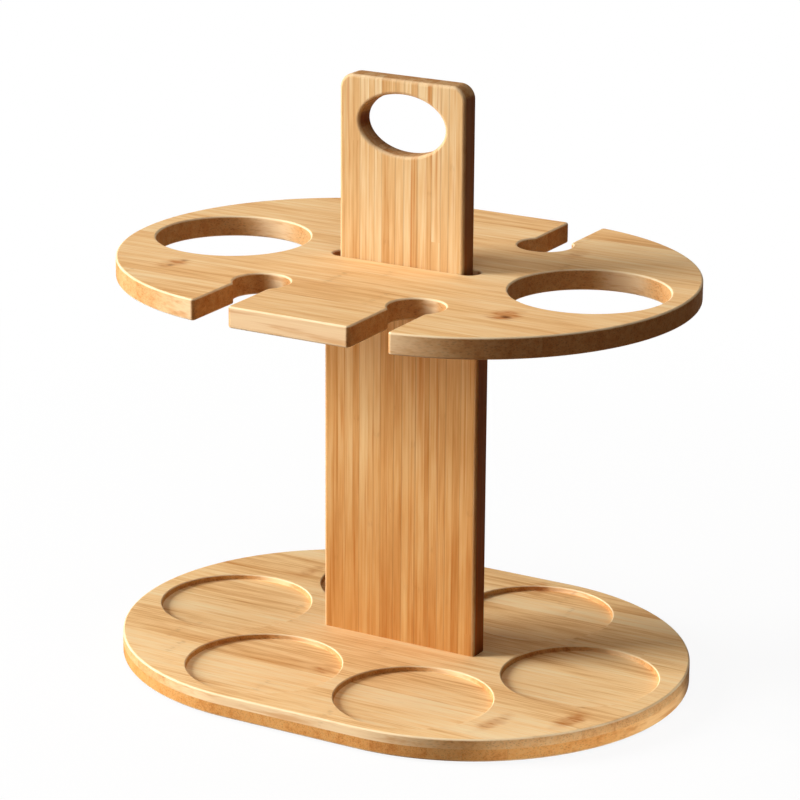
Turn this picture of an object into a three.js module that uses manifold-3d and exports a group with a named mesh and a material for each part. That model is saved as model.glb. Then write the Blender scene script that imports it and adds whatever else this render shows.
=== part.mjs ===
// A bamboo wine caddy for two bottles and four stemmed glasses. The base board carries a centre post
// that ends in a carrying handle. The top board drops over the handle and rests on the post's shoulders.
// Millimetres, +Z up, +X along the boards. The origin is on the standing surface, under the middle.
import * as THREE from 'three';
import { mergeVertices } from 'three/addons/utils/BufferGeometryUtils.js';
import Module from 'manifold-3d';

const wasm = await Module();
wasm.setup();

// Boards: two alike, with straight long sides and half-round ends
const BOARD_LENGTH = 320;
const BOARD_DEPTH = 240;
const BASE_THICKNESS = 12.5;
const TOP_THICKNESS = 11.5;
const BOARD_EDGE_EASE = 1.2;

// Bottle places at the two ends
const BOTTLE_HOLE_DIAMETER = 84;
const BOTTLE_RECESS_DIAMETER = 84;
const BOTTLE_END_WALL = 10;

// Glass places, two at the front and two at the back
const GLASS_RECESS_DIAMETER = 84;
const GLASS_RECESS_GAP = 8;
const GLASS_EDGE_WALL = 7.5;
const STEM_SEAT_DIAMETER = 30;
const STEM_SLOT_WIDTH = 21;
const SLOT_MOUTH_EXTRA_EASE = 0.4;

// Recesses in the base
const RECESS_DEPTH = 3;
const RECESS_RIM_EASE = 0.8;

// Centre post and its handle
const POST_THICKNESS = 12.4;
const POST_WIDTH = 94;
const POST_HEIGHT = 201;
const HANDLE_WIDTH = 75;
const HANDLE_HEIGHT = 110.5;
const HANDLE_CORNER_RADIUS = 8;
const SHOULDER_FILLET = 2.5;
const POST_EDGE_EASE = 2;
const FINGER_HOLE_WIDTH = 51;
const FINGER_HOLE_HEIGHT = 32.5;
const FINGER_HOLE_TOP_WALL = 8;

// Slot in the top board that the handle passes through
const HANDLE_SLOT_SIDE_CLEARANCE = 0.3;
const HANDLE_SLOT_END_CLEARANCE = 6.5;

// Wood screws, up through the base into the post
const SCREW_SPACING = 60;
const SCREW_LENGTH = 40;
const SCREW_DIAMETER = 4;
const SCREW_HEAD_DIAMETER = 8;
const SCREW_HEAD_HEIGHT = 2.4;
const SCREW_TIP_LENGTH = 5;
const SCREW_TIP_FLAT = 0.4;
const SCREW_HEAD_RIM = 0.3;
const SCREW_HEAD_SINK = 0.5;
const SCREW_CLEARANCE = 0.3;
const DRIVE_SLOT_LENGTH = 4.4;
const DRIVE_SLOT_WIDTH = 0.9;
const DRIVE_SLOT_DEPTH = 1.5;

// Stick-on feet under the base
const FOOT_DIAMETER = 14;
const FOOT_HEIGHT = 1.5;
const FOOT_EDGE_EASE = 0.5;
const FOOT_EDGE_INSET = 20;

// Smoothness of the round work
const END_ARC_STEPS = 16;
const SEAT_ARC_STEPS = 14;
const EASE_STEPS = 2;
const ROUND_STEPS = 40;
const CORNER_STEPS = 6;
const SMALL_ROUND_STEPS = 20;

// Places worked out from the sizes above
const END_RADIUS = BOARD_DEPTH / 2;
const END_CENTRE_X = BOARD_LENGTH / 2 - END_RADIUS;
const BOTTLE_X = BOARD_LENGTH / 2 - BOTTLE_END_WALL - BOTTLE_HOLE_DIAMETER / 2;
const GLASS_X = (GLASS_RECESS_DIAMETER + GLASS_RECESS_GAP) / 2;
const GLASS_Y = BOARD_DEPTH / 2 - GLASS_EDGE_WALL - GLASS_RECESS_DIAMETER / 2;
const MOUTH_CORNER = (BOARD_EDGE_EASE + SLOT_MOUTH_EXTRA_EASE) * Math.SQRT2;
const BASE_TOP_Z = FOOT_HEIGHT + BASE_THICKNESS;
const SHOULDER_Z = BASE_TOP_Z + POST_HEIGHT;
const HANDLE_TOP_Z = SHOULDER_Z + HANDLE_HEIGHT;
const FINGER_HOLE_Z = HANDLE_TOP_Z - FINGER_HOLE_TOP_WALL - FINGER_HOLE_HEIGHT / 2;
const SIDES = [{ name: 'left', sign: -1 }, { name: 'right', sign: 1 }];
const ROWS = [{ name: 'front', sign: -1 }, { name: 'back', sign: 1 }];
const CUT_OVERLAP = 1;

function bamboo(color) {
  return new THREE.MeshStandardMaterial({ color, roughness: 0.5, metalness: 0 });
}

function steel() {
  return new THREE.MeshStandardMaterial({ color: 0xb9b6ae, roughness: 0.35, metalness: 1 });
}

function rubber() {
  return new THREE.MeshStandardMaterial({ color: 0x2b2a29, roughness: 0.85, metalness: 0 });
}

// A closed geometry as a solid that can be cut
function solidOf(geometry) {
  const bare = geometry.clone();
  bare.deleteAttribute('normal');
  bare.deleteAttribute('uv');
  const merged = mergeVertices(bare);
  return new wasm.Manifold(new wasm.Mesh({
    numProp: 3,
    vertProperties: new Float32Array(merged.attributes.position.array),
    triVerts: new Uint32Array(merged.index.array),
  }));
}

function geometryOf(solid) {
  const { vertProperties, triVerts } = solid.getMesh();
  const geometry = new THREE.BufferGeometry();
  geometry.setAttribute('position', new THREE.BufferAttribute(vertProperties, 3));
  geometry.setIndex(new THREE.BufferAttribute(triVerts, 1));
  geometry.computeVertexNormals();
  return geometry;
}

function cut(geometry, cutters) {
  const result = cutters.reduce((rest, cutter) => rest.subtract(solidOf(cutter)), solidOf(geometry));
  return geometryOf(result);
}

function named(name, geometry, material) {
  const mesh = new THREE.Mesh(geometry, material);
  mesh.name = name;
  return mesh;
}

// A solid of revolution about Z. The profile's points are [radius, height].
function revolved(profile, steps) {
  const points = profile.map(([radius, height]) => new THREE.Vector2(radius, height));
  return new THREE.LatheGeometry(points, steps).rotateX(Math.PI / 2);
}

// A flat outline given thickness, with every arris eased inside the outline's own size
function slab(shape, thickness, ease) {
  const geometry = new THREE.ExtrudeGeometry(shape, {
    depth: thickness - 2 * ease,
    bevelThickness: ease,
    bevelSize: ease,
    bevelOffset: -ease,
    bevelSegments: EASE_STEPS,
    curveSegments: ROUND_STEPS / 2,
  });
  return geometry.translate(0, 0, ease);
}

function arc(x, y, radius, from, to, steps, clockwise = false) {
  return new THREE.EllipseCurve(x, y, radius, radius, from, to, clockwise).getPoints(steps);
}

// The back edge's height above the centre line, and its angle on the round end, at a given X
function edgeY(x) {
  const along = Math.max(x - END_CENTRE_X, 0);
  return Math.sqrt(END_RADIUS ** 2 - along ** 2);
}

function edgeAngle(x) {
  return Math.acos(Math.max(x - END_CENTRE_X, 0) / END_RADIUS);
}

// The board's back right edge walked towards the middle, from one X to another
function edgeRun(fromX, toX) {
  const end = new THREE.Vector2(toX, edgeY(toX));
  if (fromX <= END_CENTRE_X) {
    return [new THREE.Vector2(fromX, END_RADIUS), end];
  }
  return [...arc(END_CENTRE_X, 0, END_RADIUS, edgeAngle(fromX), edgeAngle(toX), END_ARC_STEPS), end];
}

// A whole outline from its back right quarter, mirrored into the other three
function mirroredOutline(quarter) {
  const half = [...quarter, ...quarter.map((p) => new THREE.Vector2(-p.x, p.y)).reverse()];
  const whole = [...half, ...half.map((p) => new THREE.Vector2(p.x, -p.y)).reverse()];
  const tooClose = 1e-4;
  return whole.filter((p, i) => p.distanceTo(whole[(i + 1) % whole.length]) > tooClose);
}

// A keyhole for a glass stem: a slot from the board's edge to a round seat over the glass place
function stemKeyhole() {
  const outerX = GLASS_X + STEM_SLOT_WIDTH / 2;
  const innerX = GLASS_X - STEM_SLOT_WIDTH / 2;
  const seatRadius = STEM_SEAT_DIAMETER / 2;
  const throatAngle = Math.acos(STEM_SLOT_WIDTH / STEM_SEAT_DIAMETER);
  const outerMouth = new THREE.Vector2(outerX, edgeY(outerX));
  const innerMouth = new THREE.Vector2(innerX, edgeY(innerX));
  const ease = new THREE.Vector2(0, MOUTH_CORNER);
  const beforeMouth = new THREE.Vector2(outerX + MOUTH_CORNER, edgeY(outerX + MOUTH_CORNER));
  const afterMouth = new THREE.Vector2(innerX - MOUTH_CORNER, edgeY(innerX - MOUTH_CORNER));
  const intoSlot = new THREE.QuadraticBezierCurve(beforeMouth, outerMouth, outerMouth.clone().sub(ease));
  const outOfSlot = new THREE.QuadraticBezierCurve(innerMouth.clone().sub(ease), innerMouth, afterMouth);
  return [
    ...intoSlot.getPoints(EASE_STEPS),
    ...arc(GLASS_X, GLASS_Y, seatRadius, throatAngle, Math.PI - throatAngle, SEAT_ARC_STEPS, true),
    ...outOfSlot.getPoints(EASE_STEPS),
  ];
}

function plainOutline() {
  return new THREE.Shape(mirroredOutline(edgeRun(BOARD_LENGTH / 2, 0)));
}

function slottedOutline() {
  const keyhole = stemKeyhole();
  const quarter = [
    ...edgeRun(BOARD_LENGTH / 2, keyhole[0].x),
    ...keyhole,
    ...edgeRun(keyhole[keyhole.length - 1].x, 0),
  ];
  return new THREE.Shape(mirroredOutline(quarter));
}

function roundHole(x, diameter) {
  return new THREE.Path().absarc(x, 0, diameter / 2, 0, 2 * Math.PI, true);
}

// The slot round the handle: straight sides, half-round ends
function handleSlot() {
  const radius = POST_THICKNESS / 2 + HANDLE_SLOT_SIDE_CLEARANCE;
  const centreX = HANDLE_WIDTH / 2 + HANDLE_SLOT_END_CLEARANCE - radius;
  return new THREE.Path([
    ...arc(-centreX, 0, radius, -Math.PI / 2, Math.PI / 2, CORNER_STEPS * 2, true),
    ...arc(centreX, 0, radius, Math.PI / 2, -Math.PI / 2, CORNER_STEPS * 2, true),
  ]);
}

// A shallow round recess with a flat floor and an eased rim, as the shape of the wood taken out
function recessCutter(x, y, diameter) {
  const radius = diameter / 2;
  const rimArc = arc(radius + RECESS_RIM_EASE, -RECESS_RIM_EASE, RECESS_RIM_EASE, Math.PI, Math.PI / 2,
    EASE_STEPS, true);
  const profile = [
    [0, -RECESS_DEPTH],
    [radius, -RECESS_DEPTH],
    ...rimArc.map((p) => [p.x, p.y]),
    [radius + RECESS_RIM_EASE, CUT_OVERLAP],
    [0, CUT_OVERLAP],
  ];
  return revolved(profile, ROUND_STEPS).translate(x, y, BASE_TOP_Z);
}

// A countersunk wood screw standing on its head, with room all round it for the hole's shape
function screwProfile(room) {
  const shank = SCREW_DIAMETER / 2 + room;
  const head = SCREW_HEAD_DIAMETER / 2 + room;
  return [
    [0, 0],
    [head, 0],
    [head, SCREW_HEAD_RIM + room],
    [shank, SCREW_HEAD_HEIGHT + room],
    [shank, SCREW_LENGTH - SCREW_TIP_LENGTH + room],
    [SCREW_TIP_FLAT + room, SCREW_LENGTH + room],
    [0, SCREW_LENGTH + room],
  ];
}

function screwHoleCutter(x) {
  const [centre, rim, ...rest] = screwProfile(SCREW_CLEARANCE);
  const below = -SCREW_HEAD_SINK - CUT_OVERLAP;
  const profile = [[centre[0], below], [rim[0], below], ...rest];
  return revolved(profile, SMALL_ROUND_STEPS).translate(x, 0, FOOT_HEIGHT + SCREW_HEAD_SINK);
}

function postScrew(side) {
  const shaft = revolved(screwProfile(0), SMALL_ROUND_STEPS);
  const slotAlongX = new THREE.BoxGeometry(DRIVE_SLOT_LENGTH, DRIVE_SLOT_WIDTH, 2 * DRIVE_SLOT_DEPTH);
  const slotAlongY = slotAlongX.clone().rotateZ(Math.PI / 2);
  const mesh = named(`post_screw_${side.name}`, cut(shaft, [slotAlongX, slotAlongY]), steel());
  mesh.position.set(side.sign * SCREW_SPACING / 2, 0, FOOT_HEIGHT + SCREW_HEAD_SINK);
  return mesh;
}

function baseBoard() {
  const board = slab(plainOutline(), BASE_THICKNESS, BOARD_EDGE_EASE).translate(0, 0, FOOT_HEIGHT);
  const bottles = SIDES.map(({ sign }) => recessCutter(sign * BOTTLE_X, 0, BOTTLE_RECESS_DIAMETER));
  const glasses = SIDES.flatMap((side) => ROWS.map((row) => (
    recessCutter(side.sign * GLASS_X, row.sign * GLASS_Y, GLASS_RECESS_DIAMETER))));
  const screwHoles = SIDES.map(({ sign }) => screwHoleCutter(sign * SCREW_SPACING / 2));
  return named('base_board', cut(board, [...bottles, ...glasses, ...screwHoles]), bamboo(0xe0b273));
}

// The post's front outline: wide below the shoulders, narrower above them, rounded at the top
function postOutline() {
  const halfPost = POST_WIDTH / 2;
  const halfHandle = HANDLE_WIDTH / 2;
  const cornerX = halfHandle - HANDLE_CORNER_RADIUS;
  const cornerZ = HANDLE_TOP_Z - HANDLE_CORNER_RADIUS;
  const footZ = BASE_TOP_Z - 2 * POST_EDGE_EASE;
  const fillet = arc(halfHandle + SHOULDER_FILLET, SHOULDER_Z + SHOULDER_FILLET, SHOULDER_FILLET,
    -Math.PI / 2, -Math.PI, CORNER_STEPS, true);
  const corner = arc(cornerX, cornerZ, HANDLE_CORNER_RADIUS, 0, Math.PI / 2, CORNER_STEPS);
  const rightHalf = [
    new THREE.Vector2(halfPost, footZ),
    new THREE.Vector2(halfPost, SHOULDER_Z),
    ...fillet,
    ...corner,
  ];
  const leftHalf = rightHalf.map((p) => new THREE.Vector2(-p.x, p.y)).reverse();
  const outline = new THREE.Shape([...rightHalf, ...leftHalf]);
  outline.holes.push(new THREE.Path().absellipse(0, FINGER_HOLE_Z, FINGER_HOLE_WIDTH / 2,
    FINGER_HOLE_HEIGHT / 2, 0, 2 * Math.PI, true, 0));
  return outline;
}

// The post is eased all round except at its foot, which is sawn square to stand on the base
function centrePost() {
  const blank = slab(postOutline(), POST_THICKNESS, POST_EDGE_EASE)
    .translate(0, 0, -POST_THICKNESS / 2)
    .rotateX(Math.PI / 2);
  const sawn = new THREE.BoxGeometry(2 * POST_WIDTH, 2 * POST_THICKNESS, BASE_TOP_Z)
    .translate(0, 0, BASE_TOP_Z / 2);
  const pilotHoles = SIDES.map(({ sign }) => screwHoleCutter(sign * SCREW_SPACING / 2));
  return named('centre_post', cut(blank, [sawn, ...pilotHoles]), bamboo(0xdba763));
}

function topBoard() {
  const outline = slottedOutline();
  SIDES.forEach(({ sign }) => outline.holes.push(roundHole(sign * BOTTLE_X, BOTTLE_HOLE_DIAMETER)));
  outline.holes.push(handleSlot());
  const board = slab(outline, TOP_THICKNESS, BOARD_EDGE_EASE);
  const mesh = named('top_board', geometryOf(solidOf(board)), bamboo(0xe3b679));
  mesh.position.z = SHOULDER_Z;
  return mesh;
}

function footPad(side, row) {
  const radius = FOOT_DIAMETER / 2;
  const easedEdge = arc(radius - FOOT_EDGE_EASE, FOOT_EDGE_EASE, FOOT_EDGE_EASE, -Math.PI / 2, 0, EASE_STEPS);
  const profile = [[0, 0], ...easedEdge.map((p) => [p.x, p.y]), [radius, FOOT_HEIGHT], [0, FOOT_HEIGHT]];
  const mesh = named(`foot_pad_${row.name}_${side.name}`, revolved(profile, SMALL_ROUND_STEPS), rubber());
  const diagonal = (END_RADIUS - FOOT_EDGE_INSET) * Math.SQRT1_2;
  mesh.position.set(side.sign * (END_CENTRE_X + diagonal), row.sign * diagonal, 0);
  return mesh;
}

const caddy = new THREE.Group();
caddy.name = 'wine_caddy';
caddy.add(baseBoard(), centrePost(), topBoard());
SIDES.forEach((side) => caddy.add(postScrew(side)));
ROWS.forEach((row) => SIDES.forEach((side) => caddy.add(footPad(side, row))));

export default caddy;
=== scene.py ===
"""A bamboo wine caddy with a lift-off top board, dressed for a studio picture.

The boards and the post are rebuilt with rounded arrises and true normals, the screws and the feet are
grown by geometry nodes, and the bamboo is a solid pattern of glued strips, so that faces, edges and end
grain all belong to the same timber.
"""
import logging
import math
from dataclasses import dataclass
from enum import Enum
from functools import reduce
from typing import Callable, Optional, Sequence, Union

import bpy
import numpy as np
from mathutils import Matrix, Vector
from mathutils.geometry import delaunay_2d_cdt


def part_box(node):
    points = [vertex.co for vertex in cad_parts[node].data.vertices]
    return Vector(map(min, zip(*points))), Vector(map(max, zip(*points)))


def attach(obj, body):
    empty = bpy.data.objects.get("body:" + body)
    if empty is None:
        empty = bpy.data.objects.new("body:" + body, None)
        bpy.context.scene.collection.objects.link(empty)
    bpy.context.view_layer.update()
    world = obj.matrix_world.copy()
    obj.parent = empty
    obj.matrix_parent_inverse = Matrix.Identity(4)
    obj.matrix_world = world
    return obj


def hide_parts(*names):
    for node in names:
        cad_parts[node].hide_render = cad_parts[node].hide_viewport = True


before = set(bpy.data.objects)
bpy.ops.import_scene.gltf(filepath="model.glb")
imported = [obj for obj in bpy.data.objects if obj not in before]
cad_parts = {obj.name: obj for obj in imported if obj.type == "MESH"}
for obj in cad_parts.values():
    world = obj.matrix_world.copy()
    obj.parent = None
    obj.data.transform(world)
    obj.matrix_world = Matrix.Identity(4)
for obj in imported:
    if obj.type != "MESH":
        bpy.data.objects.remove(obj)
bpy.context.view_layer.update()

LOG = logging.getLogger("wine_caddy")
MM = 0.001
QUARTER = math.pi / 2
SIDES = (-1, 1)

Colour = tuple[float, float, float, float]
Place = tuple[float, float, float]
Spot = tuple[float, float]
Range = tuple[float, float]
Change = tuple[float, float, float, float]
Socket = bpy.types.NodeSocket
Value = Union[float, int, bool, Sequence[float], Socket, bpy.types.Material]

WHITE: Colour = (1.0, 1.0, 1.0, 1.0)
# The curve of screen colours: where its straight part ends and how steep that is, its offset and its power.
SCREEN_KNEE, SCREEN_SLOPE, SCREEN_OFFSET, SCREEN_POWER = 0.04045, 12.92, 0.055, 2.4


def paint(red: int, green: int, blue: int) -> Colour:
    """Turns a screen colour into the linear colour that shaders take.

    Args:
        red: Red from 0 to 255.
        green: Green from 0 to 255.
        blue: Blue from 0 to 255.

    Returns:
        The linear colour with full alpha.
    """
    def linear(level: int) -> float:
        """Takes one channel from its screen level to its linear one.

        Args:
            level: The screen level.

        Returns:
            The linear level.
        """
        share = level / 255
        curved = ((share + SCREEN_OFFSET) / (1 + SCREEN_OFFSET)) ** SCREEN_POWER
        return share / SCREEN_SLOPE if share <= SCREEN_KNEE else curved
    return linear(red), linear(green), linear(blue), 1.0


class Grain(Enum):
    """The way the bamboo strips run."""

    ALONG_BOARD = "along the board"
    UPRIGHT = "up the post"


class Facing(Enum):
    """The way a flat cap looks along its layout's own height."""

    UP = 1
    DOWN = -1


# ---- Outlines and closed shells

# Points nearer than this are one, in metres.
SAME_POINT = 1e-7
# Blender's triangulation: only what lies inside the edges, and how near its points merge, in millimetres.
TRIANGLES_INSIDE = 1
MERGE_REACH = 1e-6


@dataclass(frozen=True)
class Outline:
    """A run of plan points walked with the wood on the left, and the way out of the wood at each.

    Attributes:
        points: Plan points, one row each.
        outward: Unit vectors out of the wood, one row each.
        closed: Whether the last point joins the first.
    """

    points: np.ndarray
    outward: np.ndarray
    closed: bool = True

    def inset(self, depth: float) -> np.ndarray:
        """The points moved into the wood by a depth."""
        return self.points - depth * self.outward

    @staticmethod
    def hole(centre: Spot, half: Spot, steps: int) -> "Outline":
        """A round or oval hole through wood.

        Args:
            centre: The hole's middle.
            half: Half its width and half its height.
            steps: How many points go round it.

        Returns:
            The closed outline, with outward pointing into the hole.
        """
        turn = -np.linspace(0, 2 * math.pi, steps, endpoint=False)
        ring = np.stack([np.cos(turn), np.sin(turn)], axis=1)
        across = ring / np.array(half)
        across /= np.linalg.norm(across, axis=1, keepdims=True)
        return Outline(np.array(centre) + ring * np.array(half), -across)


class OutlinePen:
    """Draws an outline as arcs that run smoothly into each other or into straight edges."""

    def __init__(self) -> None:
        """Starts with nothing drawn."""
        self._points: list[np.ndarray] = []
        self._outward: list[np.ndarray] = []

    def arc(self, centre: Spot, radius: float, start: float, end: float, steps: int,
            hollow: bool = False) -> "OutlinePen":
        """Adds an arc.

        Args:
            centre: The arc's centre.
            radius: Its radius.
            start: Its first angle in radians.
            end: Its last angle in radians.
            steps: How many chords it has.
            hollow: Whether the wood is outside the arc.

        Returns:
            The pen itself.
        """
        turn = np.linspace(start, end, steps + 1)
        ray = np.stack([np.cos(turn), np.sin(turn)], axis=1)
        self._points.append(np.array(centre) + radius * ray)
        self._outward.append(-ray if hollow else ray)
        return self

    def point(self, place: Spot, outward: Spot) -> "OutlinePen":
        """Adds one point of a straight edge.

        Args:
            place: The point.
            outward: The way out of the wood there.

        Returns:
            The pen itself.
        """
        self._points.append(np.array([place], float))
        self._outward.append(np.array([outward], float))
        return self

    def mirrored(self, axis: int) -> "OutlinePen":
        """Adds the mirror image of all that is drawn, walked back.

        Args:
            axis: 0 to change the sign of X, 1 that of Y.

        Returns:
            The pen itself.
        """
        flip = np.ones(2)
        flip[axis] = -1
        points, outward = np.concatenate(self._points), np.concatenate(self._outward)
        self._points.append((points * flip)[::-1])
        self._outward.append((outward * flip)[::-1])
        return self

    def outline(self, closed: bool = True) -> Outline:
        """Ends the drawing.

        Args:
            closed: Whether the last point joins the first.

        Returns:
            The drawn outline without doubled points.
        """
        points, outward = np.concatenate(self._points), np.concatenate(self._outward)
        gap = np.linalg.norm(points - np.roll(points, 1, axis=0), axis=1)
        keep = gap > SAME_POINT
        if not closed:
            keep[0] = True
        return Outline(points[keep], outward[keep], closed)


@dataclass(frozen=True)
class Station:
    """One level of a wall's profile.

    Attributes:
        inset: How far the wall lies inside the outline there.
        height: Its height above the layout's plane.
        lean: The surface's tilt in radians, 0 facing out and a quarter turn facing up.
        arris: 1 in the middle of a rounded edge, 0 away from it.
    """

    inset: float
    height: float
    lean: float = 0.0
    arris: float = 0.0


def rounded(radius: float, inset: float, height: float, start: float, end: float,
            steps: int) -> list[Station]:
    """Levels round a convex edge.

    Args:
        radius: The edge's radius.
        inset: The inset of the wall below or above it.
        height: The height of the arc's centre.
        start: The first tilt in radians.
        end: The last tilt in radians.
        steps: How many chords the arc has.

    Returns:
        The stations, from the first tilt to the last.
    """
    found = []
    for step in range(steps + 1):
        lean = start + (end - start) * step / steps
        arris = 1 - abs(2 * abs(lean) / QUARTER - 1)
        found.append(Station(inset + radius * (1 - math.cos(lean)), height + radius * math.sin(lean),
                             lean, arris))
    return found


def eased_slab(thickness: float, radius: float, steps: int) -> list[Station]:
    """The wall of a slab with both arrises rounded.

    Args:
        thickness: The slab's thickness.
        radius: The radius of its arrises.
        steps: How many chords each arris has.

    Returns:
        The stations, from its lower face to its upper one.
    """
    lower = rounded(radius, 0, radius, -QUARTER, 0, steps)
    upper = rounded(radius, 0, thickness - radius, 0, QUARTER, steps)
    return lower + upper


@dataclass(frozen=True)
class Layout:
    """How plan and height lie in the object's frame.

    Attributes:
        across: Where plan X points.
        along: Where plan Y points.
        rise: Where height points.
        origin: Where the plan's origin lies.
    """

    across: Place = (1, 0, 0)
    along: Place = (0, 1, 0)
    rise: Place = (0, 0, 1)
    origin: Place = (0, 0, 0)

    def place(self, plan: np.ndarray, height: float) -> np.ndarray:
        """Plan points at a height, in the object's frame."""
        flat = plan[:, :1] * np.array(self.across) + plan[:, 1:] * np.array(self.along)
        return flat + height * np.array(self.rise) + np.array(self.origin)

    def lean(self, outward: np.ndarray, tilt: float) -> np.ndarray:
        """Normals for outward directions tilted up by an angle."""
        flat = outward[:, :1] * np.array(self.across) + outward[:, 1:] * np.array(self.along)
        return math.cos(tilt) * flat + math.sin(tilt) * np.array(self.rise)

    def plan(self, points: np.ndarray) -> np.ndarray:
        """The plan coordinates of points in the object's frame."""
        axes = np.array([self.across, self.along], float)
        return np.stack([points @ axes[0], points @ axes[1]], axis=1)


class Shell:
    """Collects the rings, walls and caps of one closed piece, with a true normal at each corner."""

    def __init__(self) -> None:
        """Starts with no faces."""
        self._points: list[np.ndarray] = []
        self._normals: list[np.ndarray] = []
        self._arris: list[float] = []
        self._faces: list[tuple[int, ...]] = []
        self._flat: list[Optional[np.ndarray]] = []

    def ring(self, points: np.ndarray, normals: np.ndarray, arris: float) -> np.ndarray:
        """Adds a ring of points.

        Args:
            points: The points, one row each.
            normals: The surface's normal at each.
            arris: How far the ring lies on a rounded edge.

        Returns:
            The points' numbers.
        """
        first = len(self._arris)
        self._points.extend(points)
        self._normals.extend(normals)
        self._arris.extend([arris] * len(points))
        return np.arange(first, first + len(points))

    def stack(self, outline: Outline, stations: Sequence[Station], layout: Layout,
              crisp: bool = False) -> list[np.ndarray]:
        """Adds a wall that follows an outline through a profile.

        Args:
            outline: The plan outline.
            stations: The profile, from the lowest level up.
            layout: How the plan lies.
            crisp: Whether each band keeps its own flat normals.

        Returns:
            The rings, from the first level to the last.
        """
        rings = []
        for level in stations:
            points = layout.place(outline.inset(level.inset), level.height)
            rings.append(self.ring(points, layout.lean(outline.outward, level.lean), level.arris))
        for lower, upper in zip(rings, rings[1:]):
            self.wall(lower, upper, outline.closed, crisp)
        return rings

    def wall(self, lower: np.ndarray, upper: np.ndarray, closed: bool, crisp: bool) -> None:
        """Joins two rings with quads.

        Args:
            lower: The lower ring's numbers.
            upper: The upper ring's numbers.
            closed: Whether the last points join the first.
            crisp: Whether each quad keeps its own flat normal.
        """
        count = len(lower)
        for i in range(count if closed else count - 1):
            j = (i + 1) % count
            face = (int(lower[i]), int(lower[j]), int(upper[j]), int(upper[i]))
            self._faces.append(face)
            self._flat.append(self._face_normal(face) if crisp else None)

    def cap(self, loops: Sequence[np.ndarray], layout: Layout, facing: Facing) -> None:
        """Fills the flat area between loops, with the wood inside by the odd and even rule.

        Args:
            loops: The rings that bound it, as point numbers.
            layout: The layout whose plan the area lies in.
            facing: Whether it looks up or down the layout's height.
        """
        ids = np.concatenate(loops)
        plan = layout.plan(np.array([self._points[i] for i in ids])) / MM
        edges, first = [], 0
        for loop in loops:
            edges += [(first + i, first + (i + 1) % len(loop)) for i in range(len(loop))]
            first += len(loop)
        _, _, triangles, origin, _, _ = delaunay_2d_cdt(
            [Vector(spot) for spot in plan], edges, [], TRIANGLES_INSIDE, MERGE_REACH, True)
        back = [numbers[0] for numbers in origin]
        starts, ends = plan[[edge[0] for edge in edges]], plan[[edge[1] for edge in edges]]
        normal = facing.value * np.array(layout.rise, float)
        for triangle in triangles:
            corners = [back[i] for i in triangle]
            a, b, c = plan[corners]
            if not self._inside((a + b + c) / 3, starts, ends):
                continue
            turn = (b[0] - a[0]) * (c[1] - a[1]) - (b[1] - a[1]) * (c[0] - a[0])
            ordered = corners if turn * facing.value > 0 else corners[::-1]
            self._faces.append(tuple(int(ids[i]) for i in ordered))
            self._flat.append(normal)

    @staticmethod
    def _inside(point: np.ndarray, starts: np.ndarray, ends: np.ndarray) -> bool:
        """Tells by the odd and even rule where a point lies.

        Args:
            point: The point.
            starts: The first point of each edge of the loops.
            ends: The last point of each edge.

        Returns:
            Whether the point lies inside the loops.
        """
        crosses = (starts[:, 1] > point[1]) != (ends[:, 1] > point[1])
        rise = np.where(crosses, ends[:, 1] - starts[:, 1], 1)
        meet = starts[:, 0] + (point[1] - starts[:, 1]) * (ends[:, 0] - starts[:, 0]) / rise
        return bool(np.count_nonzero(crosses & (meet > point[0])) % 2)

    def _face_normal(self, face: Sequence[int]) -> np.ndarray:
        """Works out the flat normal of a quad.

        Args:
            face: The numbers of its corners.

        Returns:
            The unit normal.
        """
        a, b, c, d = (self._points[i] for i in face)
        normal = np.cross(c - a, d - b)
        return normal / np.linalg.norm(normal)

    def mesh(self, name: str) -> bpy.types.Mesh:
        """Makes the Blender mesh.

        Args:
            name: The mesh's name.

        Returns:
            The mesh, with its corner normals and its arris values.
        """
        mesh = bpy.data.meshes.new(name)
        mesh.from_pydata([tuple(point) for point in self._points], [], self._faces)
        arris = mesh.attributes.new("arris", "FLOAT", "POINT")
        arris.data.foreach_set("value", self._arris)
        mesh.polygons.foreach_set("use_smooth", [True] * len(self._faces))
        corners = [tuple(self._normals[i] if flat is None else flat)
                   for face, flat in zip(self._faces, self._flat) for i in face]
        mesh.normals_split_custom_set(corners)
        mesh.update()
        return mesh


# ---- Node wiring

# The middle of what noise and fractions give.
HALF = 0.5


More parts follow.
